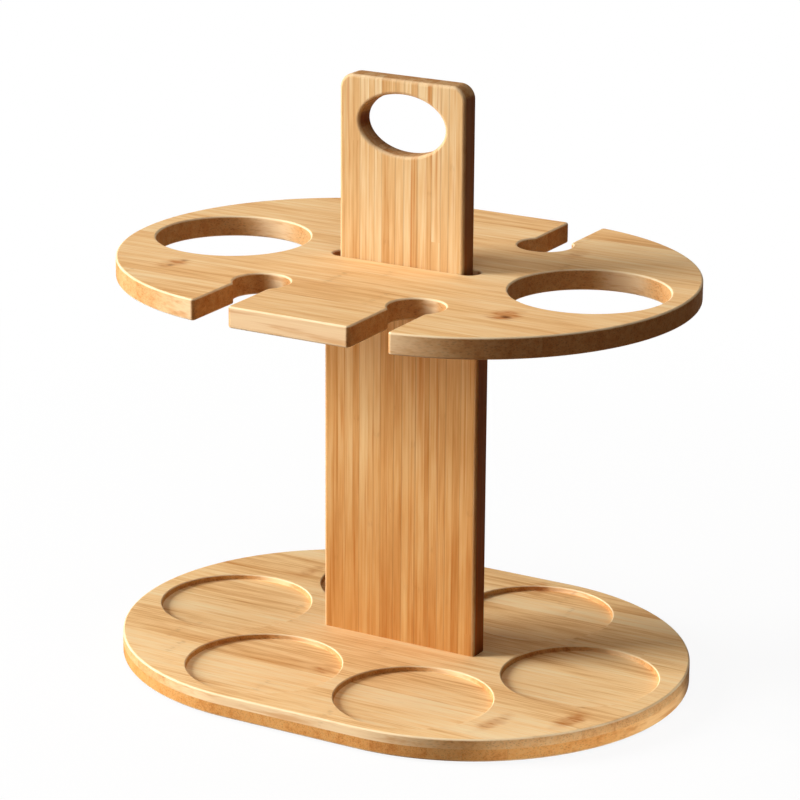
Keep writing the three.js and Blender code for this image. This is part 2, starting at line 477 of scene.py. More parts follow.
class Wiring:
    """Adds nodes to a tree and links them."""

    def __init__(self, tree: bpy.types.NodeTree) -> None:
        """Takes the tree to add to."""
        self.tree = tree

    def node(self, kind: str, values: Optional[dict[Union[str, int], Value]] = None,
             **settings: object) -> bpy.types.Node:
        """Adds a node.

        Args:
            kind: The node's type name.
            values: Its inputs by name or number: a socket is linked, anything else is set.
            settings: Its own properties.

        Returns:
            The node.
        """
        node = self.tree.nodes.new(kind)
        for key, value in settings.items():
            setattr(node, key, value)
        for key, value in (values or {}).items():
            self.feed(node.inputs[key], value)
        return node

    def feed(self, socket: Socket, value: Value) -> None:
        """Links a socket to an input, or sets the input's value.

        Args:
            socket: The input.
            value: The socket to link, or the value to set.
        """
        if isinstance(value, Socket):
            self.tree.links.new(value, socket)
        else:
            socket.default_value = value

    def give(self, out: bpy.types.NodeInputs, **values: Socket) -> bpy.types.NodeTree:
        """Feeds the outputs of a group.

        Args:
            out: The sockets that take them.
            values: What each gives, by its name.

        Returns:
            The group's tree, now complete.
        """
        for name, value in values.items():
            self.feed(out[name], value)
        return self.tree

    def group(self, tree: bpy.types.NodeTree, values: dict[str, Value]) -> bpy.types.NodeOutputs:
        """The outputs of a shared group that is placed with its own values."""
        return self.node("ShaderNodeGroup", values, node_tree=tree).outputs

    def math(self, operation: str, *values: Value, clamp: bool = False) -> Socket:
        """The result of a Math node."""
        inputs = dict(enumerate(values))
        return self.node("ShaderNodeMath", inputs, operation=operation, use_clamp=clamp).outputs[0]

    def product(self, *values: Value) -> Socket:
        """Values multiplied with each other."""
        return reduce(lambda a, b: self.math("MULTIPLY", a, b), values)

    def centred(self, value: Value) -> Socket:
        """A noise value or a fraction, moved to lie about zero."""
        return self.math("SUBTRACT", value, HALF)

    def vector(self, operation: str, *values: Value) -> Socket:
        """The vector result of a Vector Math node."""
        return self.node("ShaderNodeVectorMath", dict(enumerate(values)), operation=operation).outputs[0]

    def length(self, value: Value) -> Socket:
        """The length of a vector."""
        return self.node("ShaderNodeVectorMath", {0: value}, operation="LENGTH").outputs["Value"]

    def split(self, value: Socket) -> list[Socket]:
        """The X, Y and Z of a vector."""
        return list(self.node("ShaderNodeSeparateXYZ", {0: value}).outputs)

    def combine(self, x: Value, y: Value, z: Value) -> Socket:
        """A vector from its X, Y and Z."""
        return self.node("ShaderNodeCombineXYZ", {0: x, 1: y, 2: z}).outputs[0]

    def ramp(self, value: Value, low: Value, high: Value, to_low: Value = 0.0,
             to_high: Value = 1.0) -> Socket:
        """A value moved smoothly from one range to another."""
        return self.node("ShaderNodeMapRange", {0: value, 1: low, 2: high, 3: to_low, 4: to_high},
                         interpolation_type="SMOOTHSTEP").outputs[0]

    def fade(self, value: Value, low: Value, high: Value) -> Socket:
        """1 below a range and 0 above it, with a smooth change between."""
        return self.ramp(value, low, high, 1.0, 0.0)

    def blend(self, factor: Value, a: Value, b: Value, mode: str = "MIX") -> Socket:
        """Two colours mixed."""
        inputs = {0: factor, 6: a, 7: b}
        return self.node("ShaderNodeMix", inputs, data_type="RGBA", blend_type=mode).outputs[2]

    def lay(self, colour: Value, over: Value, *masks: Value) -> Socket:
        """A colour with another laid over it, as thick as its masks multiplied."""
        return self.blend(self.product(*masks), colour, over)

    def between(self, factor: Value, a: Value, b: Value) -> Socket:
        """Two values mixed."""
        return self.node("ShaderNodeMix", {0: factor, 2: a, 3: b}, data_type="FLOAT").outputs[0]

    def noise(self, vector: Value, scale: Value = 1.0, detail: float = 2.0,
              roughness: float = 0.5) -> Socket:
        """The value of a Noise Texture."""
        inputs = {"Vector": vector, "Scale": scale, "Detail": detail, "Roughness": roughness}
        return self.node("ShaderNodeTexNoise", inputs).outputs[0]

    def grain_noise(self, vector: Value, along: Value, across: float, detail: float = 2.0,
                    roughness: float = 0.5) -> Socket:
        """Noise drawn out along the grain.

        Args:
            vector: The pattern's vector, along then across then through the strips.
            along: How often it changes in a metre along the grain.
            across: How often it changes in a metre across the grain.
            detail: How many finer levels it has.
            roughness: How strong these are.

        Returns:
            The noise's value.
        """
        linked = isinstance(along, Socket)
        rate = self.combine(along, across, across) if linked else (along, across, across)
        return self.noise(self.vector("MULTIPLY", vector, rate), 1.0, detail, roughness)

    def chance(self, vector: Value) -> bpy.types.NodeOutputs:
        """The outputs of a White Noise node on a vector."""
        return self.node("ShaderNodeTexWhiteNoise", {"Vector": vector}, noise_dimensions="3D").outputs

    def relief(self, shader: bpy.types.Node, height: Socket, strength: float, depth: float) -> None:
        """Gives a shader the fine relief of a height."""
        bump = self.node("ShaderNodeBump", {"Strength": strength, "Distance": depth, "Height": height})
        self.feed(shader.inputs["Normal"], bump.outputs[0])


@dataclass(frozen=True)
class Port:
    """A named socket of a node group.

    Attributes:
        name: The socket's name.
        kind: Its socket type.
        default: Its value where nothing is linked.
    """

    name: str
    kind: str = "NodeSocketFloat"
    default: Optional[Value] = None


VECTOR_PORT = Port("Vector", "NodeSocketVector")
MATERIAL_PORT = Port("Material", "NodeSocketMaterial")
GEOMETRY_PORT = Port("Geometry", "NodeSocketGeometry")


def new_tree(name: str, kind: str, takes: Sequence[Port], gives: Sequence[Port]) -> tuple[
        Wiring, bpy.types.NodeOutputs, bpy.types.NodeInputs]:
    """Makes an empty node group.

    Args:
        name: The group's name.
        kind: The tree's type name.
        takes: Its inputs.
        gives: Its outputs.

    Returns:
        Its wiring, the sockets that carry its inputs and the sockets that take its outputs.
    """
    tree = bpy.data.node_groups.new(name, kind)
    for ports, side in ((takes, "INPUT"), (gives, "OUTPUT")):
        for port in ports:
            socket = tree.interface.new_socket(port.name, in_out=side, socket_type=port.kind)
            if port.default is not None:
                socket.default_value = port.default
    wiring = Wiring(tree)
    return wiring, wiring.node("NodeGroupInput").outputs, wiring.node("NodeGroupOutput").inputs


# ---- Shared surface effects


@dataclass(frozen=True)
class FibreBand:
    """One kind of fibre in the bamboo's figure.

    Attributes:
        name: The output that carries it.
        along: How often it changes in a metre along the grain.
        across: How often it changes in a metre across the grain.
        detail: How many finer levels it has.
        roughness: How strong these are.
        share: How far it moves the timber's tone.
    """

    name: str
    along: float
    across: float
    detail: float
    roughness: float
    share: float


FIBRE_BANDS = (
    FibreBand("Cloud", 7.0, 40.0, 2.0, 0.5, 0.8),
    FibreBand("Broad", 22.0, 260.0, 3.0, 0.55, 1.0),
    FibreBand("Fine", 14.0, 860.0, 3.0, 0.6, 0.9),
    FibreBand("Hair", 42.0, 2600.0, 2.0, 0.6, 0.4),
)

# Glued strips: how far and how often their widths drift, over how many lengths their joints are staggered,
# the numbers that keep layers, tones and seams apart, a seam's full core, and how strongly seams show.
WIDTH_DRIFT, WIDTH_DRIFT_RATE = 1.3, 0.8
JOINT_STAGGER, LAYER_STRIDE = 7.3, 17.0
TONE_SALT, SEAM_SALT = 3.7, 8.1
SEAM_CORE = 0.3
SEAM_SHOWS = (0.1, 1.0)

# Fibres: how far each strip's figure is moved, how often fibres sway along and across the grain, and how
# often lone dark ones come across the grain, with their detail, their roughness and where they set in.
STRIP_OFFSET = (3.1, 1.7, 2.3)
SWAY_RATE = (14.0, 60.0)
STREAK_RATE, STREAK_DETAIL, STREAK_ROUGHNESS = 560.0, 2.0, 0.6
STREAK_RANGE = (0.55, 0.72)

# Sawn ends: how squarely a face cuts the fibres, how far dots are drawn out, and how they spread and fade.
SAWN_RANGE = (0.08, 0.5)
DOT_DRAW, DOT_DISORDER = 0.02, 0.9
DOT_RANGE = (0.16, 0.46)

# Node lines: how far and how often they wander, their stagger, their edge and their halo in reaches, and
# how often and where the flecks in them come.
LINE_WANDER, LINE_STAGGER, LINE_HALO = 0.008, 5.0, 2.0
LINE_WANDER_RATE = (60.0, 420.0)
LINE_EDGE = (0.1, 0.6)
LINE_FLECK_RATE = (150.0, 900.0)
LINE_FLECK_RANGE = (0.45, 0.65)
LINE_DETAIL = 3.0

# Culm nodes: how ragged they are, how often that and their smears change, where smears set in, and how far
# out, in reaches, their stain, their core and their flecks fade.
MARK_RAG = 1.6
MARK_RAG_RATE, SMEAR_RATE = (60.0, 210.0), (85.0, 330.0)
SMEAR_RANGE = (0.48, 0.6)
STAIN_REACH, CORE_REACH, FLECK_REACH = (0.1, 1.2), (0.0, 0.9), (0.1, 0.95)

# Worn arrises, paler partly from sanding and partly by a painted highlight: how often the wear changes,
# its detail, where it is full, and the range of its patches.
WEAR_RATE, WEAR_DETAIL, WEAR_FULL = 90.0, 3.0, 0.8
WEAR_PATCHES = (0.2, 0.7, 0.55, 1.0)

# Mottle: the detail and roughness of clouds and of specks, how much finer specks are, and their range.
CLOUD_LEVELS, SPECK_LEVELS = (4.0, 0.6), (2.0, 0.7)
SPECK_FINENESS = 6.0
SPECK_RANGE = (0.55, 0.7)


class SurfaceEffects:
    """The shader groups that the finishes share, each built once."""

    def __init__(self) -> None:
        """Builds every group."""
        self.strips = self._strips()
        self.fibres = self._fibres()
        self.end_grain = self._end_grain()
        self.node_line = self._node_line()
        self.node_mark = self._node_mark()
        self.arris_wear_and_highlight = self._arris_wear_and_highlight()
        self.mottle = self._mottle()

    @staticmethod
    def _strips() -> bpy.types.NodeTree:
        """Builds the glued strips.

        Returns:
            The group, with a tone, a hue and a shift for each strip, and the seams between them.
        """
        wiring, given, out = new_tree(
            "glued_strips", "ShaderNodeTree",
            [VECTOR_PORT, Port("Strip Width", default=0.02), Port("Strip Length", default=0.6),
             Port("Layer Height", default=0.012), Port("Seam Width", default=0.00045),
             Port("Seed", default=0.0)],
            [Port("Tone"), Port("Hue"), Port("Shift"), Port("Seam")])
        seed, seam = given["Seed"], given["Seam Width"]
        along, across, through = wiring.split(given["Vector"])
        even = wiring.math("DIVIDE", across, given["Strip Width"])
        drift = wiring.noise(wiring.combine(even, seed, 0.0), WIDTH_DRIFT_RATE, 1.0)
        place = wiring.math("MULTIPLY_ADD", drift, WIDTH_DRIFT, even)
        row = wiring.math("FLOOR", place)
        layer = wiring.math("FLOOR", wiring.math("DIVIDE", through, given["Layer Height"]))
        start = wiring.product(wiring.chance(wiring.combine(row, layer, seed))["Value"], JOINT_STAGGER)
        run = wiring.math("ADD", wiring.math("DIVIDE", along, given["Strip Length"]), start)
        strip = wiring.combine(wiring.math("MULTIPLY_ADD", layer, LAYER_STRIDE, row),
                               wiring.math("FLOOR", run), wiring.math("ADD", seed, TONE_SALT))
        tone, hue, shift = wiring.split(wiring.chance(strip)["Color"])
        part = wiring.math("FRACT", place)
        nearest = wiring.math("MINIMUM", part, wiring.math("SUBTRACT", 1.0, part))
        edge = wiring.product(nearest, given["Strip Width"])
        line = wiring.fade(edge, wiring.product(seam, SEAM_CORE), seam)
        joint = wiring.combine(wiring.math("ROUND", place), layer, wiring.math("ADD", seed, SEAM_SALT))
        glued = wiring.ramp(wiring.chance(joint)["Value"], *SEAM_SHOWS, *SEAM_SHOWS)
        return wiring.give(out, Tone=tone, Hue=hue, Shift=shift, Seam=wiring.product(line, glued))

    @staticmethod
    def _fibres() -> bpy.types.NodeTree:
        """Builds the fibres along the grain.

        Returns:
            The group, with slow clouds, broad streaks, fine lines, hair-thin ones and lone dark ones.
        """
        wiring, given, out = new_tree(
            "long_fibres", "ShaderNodeTree",
            [VECTOR_PORT, Port("Shift"), Port("Wave", default=0.0006), Port("Run", default=9.0)],
            [*(Port(band.name) for band in FIBRE_BANDS), Port("Streak")])
        offset = wiring.vector("SCALE", STRIP_OFFSET)
        wiring.feed(offset.node.inputs["Scale"], given["Shift"])
        moved = wiring.vector("ADD", given["Vector"], offset)
        wave = wiring.grain_noise(moved, *SWAY_RATE, detail=1.0)
        sway = wiring.product(wiring.centred(wave), given["Wave"])
        bent = wiring.vector("ADD", moved, wiring.combine(0.0, sway, sway))
        bands = {band.name: wiring.grain_noise(bent, band.along, band.across, band.detail, band.roughness)
                 for band in FIBRE_BANDS}
        lone = wiring.grain_noise(bent, given["Run"], STREAK_RATE, STREAK_DETAIL, STREAK_ROUGHNESS)
        return wiring.give(out, Streak=wiring.ramp(lone, *STREAK_RANGE), **bands)

    @staticmethod
    def _end_grain() -> bpy.types.NodeTree:
        """Builds the sawn ends of the fibres.

        Returns:
            The group, with how squarely a face cuts the fibres, and the dots that show there.
        """
        wiring, given, out = new_tree(
            "sawn_ends", "ShaderNodeTree",
            [VECTOR_PORT, Port("Along Grain"), Port("Dot Size", default=0.001)],
            [Port("Ends"), Port("Dots")])
        size = given["Dot Size"]
        squarely = wiring.math("ABSOLUTE", given["Along Grain"])
        drawn = wiring.vector("MULTIPLY", given["Vector"], (DOT_DRAW, 1.0, 1.0))
        cells = wiring.vector("DIVIDE", drawn, wiring.combine(size, size, size))
        dots = wiring.node("ShaderNodeTexVoronoi", {
            "Vector": cells, "Scale": 1.0, "Randomness": DOT_DISORDER}, feature="F1").outputs["Distance"]
        return wiring.give(out, Ends=wiring.ramp(squarely, *SAWN_RANGE), Dots=wiring.fade(dots, *DOT_RANGE))

    @staticmethod
    def _node_line() -> bpy.types.NodeTree:
        """Builds the ring of a culm's node across a strip, at a place of the strip's own.

        Returns:
            The group, with the flecked line and the halo round it.
        """
        wiring, given, out = new_tree(
            "culm_node_lines", "ShaderNodeTree",
            [VECTOR_PORT, Port("Shift"), Port("Spacing", default=0.24), Port("Reach", default=0.004)],
            [Port("Line"), Port("Halo")])
        vector, spacing, reach = given["Vector"], given["Spacing"], given["Reach"]
        along = wiring.split(vector)[0]
        ragged = wiring.grain_noise(vector, *LINE_WANDER_RATE, detail=LINE_DETAIL)
        wander = wiring.product(wiring.centred(ragged), LINE_WANDER)
        run = wiring.math("ADD", wiring.math("DIVIDE", wiring.math("ADD", along, wander), spacing),
                          wiring.product(given["Shift"], LINE_STAGGER))
        away = wiring.product(wiring.math("ABSOLUTE", wiring.centred(wiring.math("FRACT", run))), spacing)
        line = wiring.fade(away, *(wiring.product(reach, share) for share in LINE_EDGE))
        flecks = wiring.ramp(wiring.grain_noise(vector, *LINE_FLECK_RATE, detail=LINE_DETAIL),
                             *LINE_FLECK_RANGE)
        halo = wiring.fade(away, 0.0, wiring.product(reach, LINE_HALO))
        return wiring.give(out, Line=wiring.product(line, flecks), Halo=halo)

    @staticmethod
    def _node_mark() -> bpy.types.NodeTree:
        """Builds one culm node, a row of soft brown smears across the strips of a board's face.

        Returns:
            The group, with the smears, the stain round them and the dark core.
        """
        wiring, given, out = new_tree(
            "culm_node_mark", "ShaderNodeTree",
            [VECTOR_PORT, Port("Centre", "NodeSocketVector"),
             Port("Reach", "NodeSocketVector", (0.006, 0.016, 0.02)), Port("Slant", default=0.0)],
            [Port("Flecks"), Port("Stain"), Port("Core")])
        vector = given["Vector"]
        along, across, through = wiring.split(wiring.vector("SUBTRACT", vector, given["Centre"]))
        upright = wiring.math("SUBTRACT", along, wiring.product(across, given["Slant"]))
        sheared = wiring.combine(upright, across, through)
        size = wiring.length(wiring.vector("DIVIDE", sheared, given["Reach"]))
        rough = wiring.centred(wiring.grain_noise(vector, *MARK_RAG_RATE))
        ragged = wiring.math("ADD", size, wiring.product(rough, MARK_RAG))
        smears = wiring.ramp(wiring.grain_noise(vector, *SMEAR_RATE), *SMEAR_RANGE)
        flecks = wiring.product(wiring.fade(ragged, *FLECK_REACH), smears)
        return wiring.give(out, Flecks=flecks, Stain=wiring.fade(ragged, *STAIN_REACH),
                           Core=wiring.fade(ragged, *CORE_REACH))

    @staticmethod
    def _arris_wear_and_highlight() -> bpy.types.NodeTree:
        """Builds the paler line on a rounded edge, partly from sanding and partly a painted highlight.

        Returns:
            The group, with the edge's wear and painted highlight.
        """
        wiring, given, out = new_tree(
            "sanded_and_highlit_arris", "ShaderNodeTree", [VECTOR_PORT, Port("Amount", default=0.6)], [Port("Wear")])
        arris = wiring.node("ShaderNodeAttribute", attribute_name="arris").outputs["Fac"]
        patchy = wiring.ramp(wiring.noise(given["Vector"], WEAR_RATE, WEAR_DETAIL), *WEAR_PATCHES)
        wear = wiring.product(wiring.ramp(arris, 0.0, WEAR_FULL), patchy, given["Amount"])
        return wiring.give(out, Wear=wear)

    @staticmethod
    def _mottle() -> bpy.types.NodeTree:
        """Builds fine cloudy unevenness.

        Returns:
            The group, with the clouds and the specks in them.
        """
        wiring, given, out = new_tree(
            "mottle", "ShaderNodeTree", [VECTOR_PORT, Port("Scale", default=400.0)],
            [Port("Cloud"), Port("Speck")])
        cloud = wiring.noise(given["Vector"], given["Scale"], *CLOUD_LEVELS)
        finer = wiring.product(given["Scale"], SPECK_FINENESS)
        specks = wiring.noise(given["Vector"], finer, *SPECK_LEVELS)
        return wiring.give(out, Cloud=cloud, Speck=wiring.ramp(specks, *SPECK_RANGE))


# ---- Finishes

# Narrow sides, which take a painted highlight on the boards and painted shade on the post: how far a normal
# leans off the broad face's where they end, how much of them is left on sawn ends, and where the lines
# along them set in.
FLANK_TURN = (0.5, 0.85)
FLANK_ON_ENDS = 0.3
FLANK_LINE_RANGE = (0.5, 0.68)
# The halo of a node line against the line itself, and how dark the dots of sawn ends are.
HALO_SHARE, DOT_DEPTH = 0.35, 0.4
# The timber's middle tone, and where in its tones straw, honey and amber lie.
TONE_MIDDLE = 0.45
TONE_STOPS = (0.05, 0.48, 0.95)
# Culm nodes: how dark their stain and their smears are, and how far they reach off the face.
STAIN_DEPTH, FLECK_DEPTH, MARK_HEIGHT = 0.42, 0.7, 9 * MM
# Half the height over which one ply gives way to the other.
PLY_BLEND = 0.12 * MM
# The lacquer: its roughness, what fine fibres and sawn ends add to it, and its shine.
ROUGHNESS, ROUGH_FIBRES, ROUGH_ENDS, SHINE = 0.40, 0.16, 0.12, 0.02
# The relief of hairs, seams and dots against fine fibres, and the strength and depth of it all.
HAIR_RELIEF, SEAM_RELIEF, DOT_RELIEF = 0.35, 0.8, 0.7
RELIEF_STRENGTH, RELIEF_DEPTH = 0.35, 0.06 * MM


def blank_material(name: str) -> tuple[bpy.types.Material, Wiring, bpy.types.Node]:
    """Makes a material that has only its shader.

    Args:
        name: The material's name.

    Returns:
        The material, its wiring and its shader.
    """
    material = bpy.data.materials.new(name)
    material.use_nodes = True
    return material, Wiring(material.node_tree), material.node_tree.nodes["Principled BSDF"]


@dataclass(frozen=True)
class CulmNode:
    """A culm node that shows on a board's face.

    Attributes:
        x: Where it is along the board, in millimetres.
        y: Where it is across the board, in millimetres.
        reach: Half its length along the grain, in millimetres.
        breadth: Half its breadth across the grain, in millimetres.
        depth: How dark it is, 1 being usual.
        slant: How far it leans.
        core: How dark its middle is, from 0 to 1.
    """

    x: float
    y: float
    reach: float
    breadth: float
    depth: float
    slant: float = 0.0
    core: float = 0.0


@dataclass(frozen=True)
class BambooFinish:
    """Glued bamboo strips under a clear satin lacquer.

    Attributes:
        name: The material's name.
        grain: The way the strips run.
        straw: The palest strips.
        honey: The usual strips.
        amber: The darkest strips.
        ends: The tint of sawn ends of the fibres.
        scorch: Glue lines, node lines and the middles of culm nodes.
        knot: Culm nodes and lone dark fibres.
        sanded_and_highlit: Rounded arrises, paler from sanding and from a painted highlight.
        side_light_and_shade: The narrow sides' colour, a painted highlight on the boards and painted shade
            on the post.
        side_light_and_shade_depth: How far they differ from the broad faces.
        flank_lines: How dark the lines along them are.
        strip_width: A strip's width.
        strip_length: A strip's length.
        layer: The height of a layer of strips.
        strip_contrast: How far strips differ in tone.
        fibre_contrast: How far fibres differ in tone.
        streak_depth: How dark lone fibres are.
        streak_run: How often lone fibres change in a metre along the grain.
        seam_depth: How dark the seams are.
        end_depth: How far sawn ends change the colour.
        line_depth: How dark the culm's node lines are.
        wear: How pale rounded arrises are, from sanding and from a painted highlight.
        seed: Which strips come out where.
        painted_shade_end: Where along the grain the painted shade is full, if there is one.
        painted_light_end: Where along the grain the painted light is full, if there is one.
        painted_shade_tint: What the colour is multiplied by at the painted shade's end.
        painted_light_tint: What the colour is multiplied by at the painted light's end.
        plain_place: Where along the grain it has neither tint.
        ply_height: The height of the glue line between crossed plies, if there are two.
        lower_ply: The tint of the lower ply.
        nodes: The culm nodes that show on the upper face.
        face_height: The height of the upper face.
    """

    name: str
    grain: Grain
    straw: Colour
    honey: Colour
    amber: Colour
    ends: Colour
    scorch: Colour
    knot: Colour
    sanded_and_highlit: Colour
    side_light_and_shade: Colour
    side_light_and_shade_depth: float
    flank_lines: float
    strip_width: float
    strip_length: float
    layer: float
    strip_contrast: float
    fibre_contrast: float
    streak_depth: float
    streak_run: float
    seam_depth: float
    end_depth: float
    line_depth: float
    wear: float
    seed: float
    painted_shade_end: Optional[float] = None
    painted_light_end: Optional[float] = None
    painted_shade_tint: Colour = WHITE
    painted_light_tint: Colour = WHITE
    plain_place: float = 0.0
    ply_height: Optional[float] = None
    lower_ply: Colour = WHITE
    nodes: tuple[CulmNode, ...] = ()
    face_height: float = 0.0

    def material(self, effects: SurfaceEffects) -> bpy.types.Material:
        """Builds the finish.

        Args:
            effects: The shared shader groups.

        Returns:
            The material.
        """
        material, wiring, shader = blank_material(self.name)
        where = wiring.node("ShaderNodeTexCoord").outputs
        vector, along_grain, off_face, lower = self._lie(wiring, where["Object"], where["Normal"])

        strips = wiring.group(effects.strips, {
            "Vector": vector, "Strip Width": self.strip_width, "Strip Length": self.strip_length,
            "Layer Height": self.layer, "Seed": self.seed})
        fibres = wiring.group(effects.fibres, {
            "Vector": vector, "Shift": strips["Shift"], "Run": self.streak_run})
        ends = wiring.group(effects.end_grain, {"Vector": vector, "Along Grain": along_grain})
        lines = wiring.group(effects.node_line, {"Vector": vector, "Shift": strips["Hue"]})
        worn_and_highlit = wiring.group(effects.arris_wear_and_highlight, {"Vector": vector, "Amount": self.wear})

        colour = self._timber(wiring, strips, fibres)
        # Painted light, where a pale end is given: paler towards it, which on the post lifts the top
        # board's shade.
        colour = self._tinted(wiring, vector, colour, self.painted_light_end, self.painted_light_tint)
        # The narrow sides take a painted colour: a highlight on the boards, shade on the post.
        side_light_and_shade = wiring.ramp(wiring.math("ABSOLUTE", off_face), *FLANK_TURN, self.side_light_and_shade_depth, 0.0)
        sides = wiring.product(side_light_and_shade, wiring.ramp(ends["Ends"], 0.0, 1.0, 1.0, FLANK_ON_ENDS))
        colour = wiring.lay(colour, self.side_light_and_shade, sides)
        lined = wiring.product(wiring.ramp(fibres["Broad"], *FLANK_LINE_RANGE), self.flank_lines)
        colour = wiring.lay(colour, self.amber, sides, lined)
        colour = wiring.lay(colour, self.knot, fibres["Streak"], self.streak_depth)
        # Painted shade, where a deep end is given: darker towards it, which on the post darkens the foot.
        colour = self._tinted(wiring, vector, colour, self.painted_shade_end, self.painted_shade_tint)
        colour = wiring.lay(colour, self.scorch, strips["Seam"], self.seam_depth)
        faces = wiring.math("SUBTRACT", 1.0, ends["Ends"])
        colour = wiring.lay(colour, self.amber, lines["Halo"], faces, HALO_SHARE * self.line_depth)
        colour = wiring.lay(colour, self.scorch, lines["Line"], faces, self.line_depth)
        for node in self.nodes:
            colour = self._culm_node(wiring, effects, where["Object"], colour, node)
        if lower is not None:
            colour = wiring.lay(colour, wiring.blend(1.0, colour, self.lower_ply, "MULTIPLY"), lower)
        sawn = wiring.blend(1.0, colour, self.ends, "MULTIPLY")
        sawn = wiring.lay(sawn, self.scorch, ends["Dots"], DOT_DEPTH)
        colour = wiring.lay(colour, sawn, ends["Ends"], self.end_depth)
        # Rounded arrises go paler, partly from sanding and partly by a painted highlight.
        colour = wiring.lay(colour, self.sanded_and_highlit, worn_and_highlit["Wear"])
        wiring.feed(shader.inputs["Base Color"], colour)
        self._lacquer(wiring, shader, strips, fibres, ends)
        return material

    def _lie(self, wiring: Wiring, place: Socket, normal: Socket) -> tuple[
            Socket, Socket, Socket, Optional[Socket]]:
        """Turns the pattern to the grain.

        Args:
            wiring: The material's wiring.
            place: Object coordinates.
            normal: The object's normal.

        Returns:
            The pattern's vector, along then across then through the strips, the normal's share along the
            grain and its share out of the broad face, and the mask of the lower ply if there is one.
        """
        x, y, z = wiring.split(place)
        facing_x, facing_y, facing_z = wiring.split(normal)
        if self.grain is Grain.UPRIGHT:
            return wiring.combine(z, x, y), facing_z, facing_y, None
        if self.ply_height is None:
            return wiring.combine(x, y, z), facing_x, facing_z, None
        lower = wiring.fade(z, self.ply_height - PLY_BLEND, self.ply_height + PLY_BLEND)
        crossed = wiring.math("GREATER_THAN", self.ply_height, z)
        vector = wiring.combine(wiring.between(crossed, x, y), wiring.between(crossed, y, x), z)
        return vector, wiring.between(crossed, facing_x, facing_y), facing_z, lower

    def _timber(self, wiring: Wiring, strips: bpy.types.NodeOutputs,
                fibres: bpy.types.NodeOutputs) -> Socket:
        """Colours the strips, from straw through honey to amber.

        Args:
            wiring: The material's wiring.
            strips: What the strips' group gives.
            fibres: What the fibres' group gives.

        Returns:
            The timber's own colour.
        """
        tone = wiring.math("MULTIPLY_ADD", wiring.centred(strips["Tone"]), self.strip_contrast, TONE_MIDDLE)
        for band in FIBRE_BANDS:
            tone = wiring.math("MULTIPLY_ADD", wiring.centred(fibres[band.name]),
                               band.share * self.fibre_contrast, tone)
        colours = wiring.node("ShaderNodeValToRGB", {0: tone})
        stops = colours.color_ramp.elements
        pale, middle, dark = TONE_STOPS
        stops[0].position, stops[0].color = pale, self.straw
        stops[1].position, stops[1].color = dark, self.amber
        stops.new(middle).color = self.honey
        return colours.outputs[0]

    def _tinted(self, wiring: Wiring, vector: Socket, colour: Socket, end: Optional[float],
                tint: Colour) -> Socket:
        """Tints a colour towards one end of the grain.

        Args:
            wiring: The material's wiring.
            vector: The pattern's vector.
            colour: The colour to tint.
            end: Where along the grain the tint is full, if there is one.
            tint: What the colour is multiplied by there.

        Returns:
            The tinted colour.
        """
        if end is None:
            return colour
        share = wiring.ramp(wiring.split(vector)[0], self.plain_place, end)
        return wiring.blend(share, colour, tint, "MULTIPLY")

    def _culm_node(self, wiring: Wiring, effects: SurfaceEffects, place: Socket, colour: Socket,
                   node: CulmNode) -> Socket:
        """Lays one culm node over a colour.

        Args:
            wiring: The material's wiring.
            effects: The shared shader groups.
            place: Object coordinates.
            colour: The colour under the node.
            node: The node.

        Returns:
            The colour with the node on it.
        """
        mark = wiring.group(effects.node_mark, {
            "Vector": place, "Centre": (node.x * MM, node.y * MM, self.face_height),
            "Reach": (node.reach * MM, node.breadth * MM, MARK_HEIGHT), "Slant": node.slant})
        colour = wiring.lay(colour, self.knot, mark["Stain"], STAIN_DEPTH * node.depth)
        colour = wiring.lay(colour, self.knot, mark["Flecks"], FLECK_DEPTH * node.depth)
        return wiring.lay(colour, self.scorch, mark["Core"], node.core) if node.core else colour

    @staticmethod
    def _lacquer(wiring: Wiring, shader: bpy.types.Node, strips: bpy.types.NodeOutputs,
                 fibres: bpy.types.NodeOutputs, ends: bpy.types.NodeOutputs) -> None:
        """Sets the lacquer's gloss and the fine relief under it.

        Args:
            wiring: The material's wiring.
            shader: The material's shader.
            strips: What the strips' group gives.
            fibres: What the fibres' group gives.
            ends: What the sawn ends' group gives.
        """
        rough = wiring.math("MULTIPLY_ADD", fibres["Fine"], ROUGH_FIBRES, ROUGHNESS)
        rough = wiring.math("MULTIPLY_ADD", ends["Ends"], ROUGH_ENDS, rough)
        wiring.feed(shader.inputs["Roughness"], rough)
        height = wiring.math("MULTIPLY_ADD", fibres["Hair"], HAIR_RELIEF, fibres["Fine"])
        height = wiring.math("SUBTRACT", height, wiring.product(strips["Seam"], SEAM_RELIEF))
        height = wiring.math("SUBTRACT", height, wiring.product(ends["Dots"], ends["Ends"], DOT_RELIEF))
        wiring.relief(shader, height, RELIEF_STRENGTH, RELIEF_DEPTH)
        shader.inputs["Specular IOR Level"].default_value = SHINE


